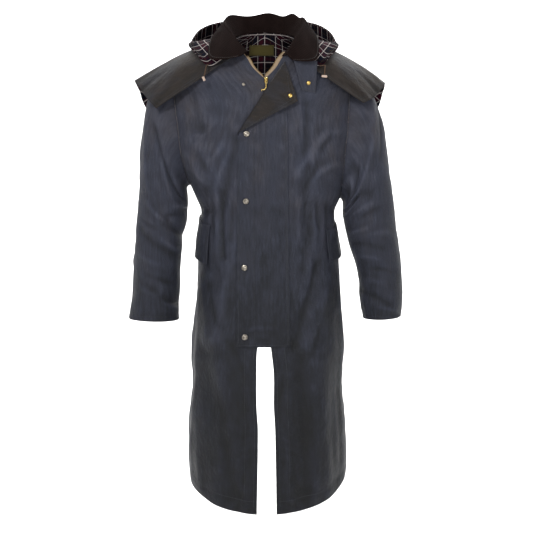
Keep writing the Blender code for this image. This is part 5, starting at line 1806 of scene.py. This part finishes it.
def make_flap():
    columns = stops((0, 0.02, 2), (0.02, 0.97, 66), (0.97, 0.993, 3), (0.993, 1, 2))
    low = stops((0, 0.004, 2), (0.004, FLAP_FOLD_ROW, 120))
    roll = FLAP_FOLD_ROW + (1 - FLAP_FOLD_ROW) * FLAP_ROLL_SHARE
    high = stops((FLAP_FOLD_ROW, roll, 12), (roll, 0.99, 30), (0.99, 1, 2))
    rows = np.concatenate((low[:-1], high))
    piece = wall("storm_flap_cloth", columns, rows, flap, SHELL, (WAXED, WAXED_BROWN))
    under = inner_face(flap, SHELL)
    lines = [
        (flap, (0.035, 0.004), (0.035, 0.66)),
        (flap, (0.060, 0.004), (0.060, 0.66)),
        (flap, (0.968, 0.012), (0.968, 0.675)),
        (flap, (0.035, 0.006), (0.968, 0.006)),
        (flap, (0.675, 0.006), (0.675, 0.665)),
        (under, (0.12, 0.985), (0.50, 0.985)),
        (under, (0.50, 0.985), (0.90, 0.985)),
        (under, (0.14, 0.960), (0.50, 0.960)),
        (under, (0.50, 0.960), (0.88, 0.960)),
    ]
    thread = stitching("storm_flap", lines)
    declare("storm_flap")


def make_tab_and_pockets():
    piece = wall(
        "throat_tab_cloth", stops((0, 0.04, 2), (0.04, 0.96, 20), (0.96, 1, 2)),
        stops((0, 0.02, 2), (0.02, 0.98, 26), (0.98, 1, 2)), tab, SHELL, (WAXED,),
    )
    corners = [(0.06, 0.02), (0.06, 0.955), (0.94, 0.955), (0.94, 0.02)]
    lines = [(tab, *pair) for pair in zip(corners, corners[1:])]
    thread = stitching("throat_tab", lines)
    declare("throat_tab")
    for side, word in WORDS.items():
        place = partial(pocket_flap, side)
        piece = wall(
            f"pocket_flap_{word}_cloth", stops((0, 0.01, 2), (0.01, 0.99, 60), (0.99, 1, 2)),
            stops((0, 0.02, 2), (0.02, 0.98, 30), (0.98, 1, 2)), place, SHELL,
            (WAXED,),
        )
        lines = []
        for across, up in ((0.018, 0.030), (0.050, 0.090)):
            corners = [(across, 0.97), (across, up), (1 - across, up), (1 - across, 0.97)]
            lines += [(place, *pair) for pair in zip(corners, corners[1:])]
        lines.append((place, (0.02, 0.95), (0.98, 0.95)))
        thread = stitching(f"pocket_flap_{word}", lines)
        declare(
            f"pocket_flap_{word}"
        )


TOOTH_PITCH = 0.0025
TOOTH_SIZE = (0.0012, 0.0024, 0.0014)


def make_zip():
    """The two tapes of the open neck, with their brass teeth."""
    for side, word in WORDS.items():
        place = partial(zip_tape, side)
        piece = wall(
            f"zip_tape_{word}_cloth", stops((0, 1, 12)), stops((0, 1, 60)), place, TAPE,
            (ZIP_TAPE,),
        )
        points, normals = line_on(place, (0.96, 0.06), (0.96, 0.98))
        spots = along_line(points, normals, TOOTH_PITCH)
        mesh = bmesh.new()
        add_boxes(mesh, *spots, TOOTH_SIZE, 0.0003)
        teeth = add_piece(f"zip_teeth_{word}", mesh, DULL_BRASS)
        declare(f"zip_tape_{word}")
    for node in ("zip_slider", "zip_pull"):
        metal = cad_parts[node]
        for holder in metal.material_slots:
            holder.material = BRASS


def snap_profile(radius, height):
    """Half outline of a press stud's cap: a rolled rim round a dished middle."""
    return [
        # radius, height
        (0.0, 0.0),
        (0.90 * radius, 0.0),
        (0.98 * radius, 0.18 * height),
        (1.00 * radius, 0.42 * height),
        (0.97 * radius, 0.70 * height),
        (0.88 * radius, 0.94 * height),
        (0.78 * radius, height),
        (0.70 * radius, 0.90 * height),
        (0.64 * radius, 0.64 * height),
        (0.56 * radius, 0.60 * height),
        (0.40 * radius, 0.74 * height),
        (0.20 * radius, 0.82 * height),
        (0.0, 0.84 * height),
    ]


def make_studs():
    snap = snap_profile(SNAP_RADIUS, 0.0030)
    for index, (x, z) in enumerate(FLAP_SNAPS, 1):
        place, height = flap_fold(np.array([(x, z)]), np.zeros(1))
        normal = body_normal(angle_at_x(one(x), one(z)), one(z))[0]
        point = front_point(place[:, 0], place[:, 1], height + GAP)[0]
        fitting(
            f"snap_cap_{index}", f"flap_snap_{index}", "nickel_stud", snap, NICKEL, point, normal
        )
    _, top = flap_fold(np.array([FLAP_CORNER]), one(-SHELL))
    small = snap_profile(SOCKET_RADIUS, 0.0024)
    stud = snap_profile(THROAT_STUD_RADIUS, 0.0020)
    for name, node, slot, spot, profile, finish, lift in (
        ("flap_socket_cap", "flap_socket", "brass", FLAP_SOCKET, small, BRASS, top + GAP),
        ("throat_stud_cap", "throat_stud", "nickel_stud", THROAT_STUD, stud, NICKEL, one(GAP)),
    ):
        x, z = one(spot[0]), one(spot[1])
        normal = body_normal(angle_at_x(x, z), z)[0]
        fitting(name, node, slot, profile, finish, front_point(x, z, lift)[0], normal, 24)
    u, v = one(TAB_SOCKET[0]), one(TAB_SOCKET[1])
    normal = unit(tab(u, v, one(1.0)) - tab(u, v))[0]
    point = tab(u, v, one(2 * GAP))[0]
    fitting("tab_socket_cap", "tab_socket", "brass", small, BRASS, point, normal, 24)


make_camera_and_light()
make_cords()
make_floor()
make_collar()
make_panels()
make_sleeves()
make_cape()
make_hood()
make_neck_inside()
make_flap()
make_tab_and_pockets()
make_zip()
make_studs()
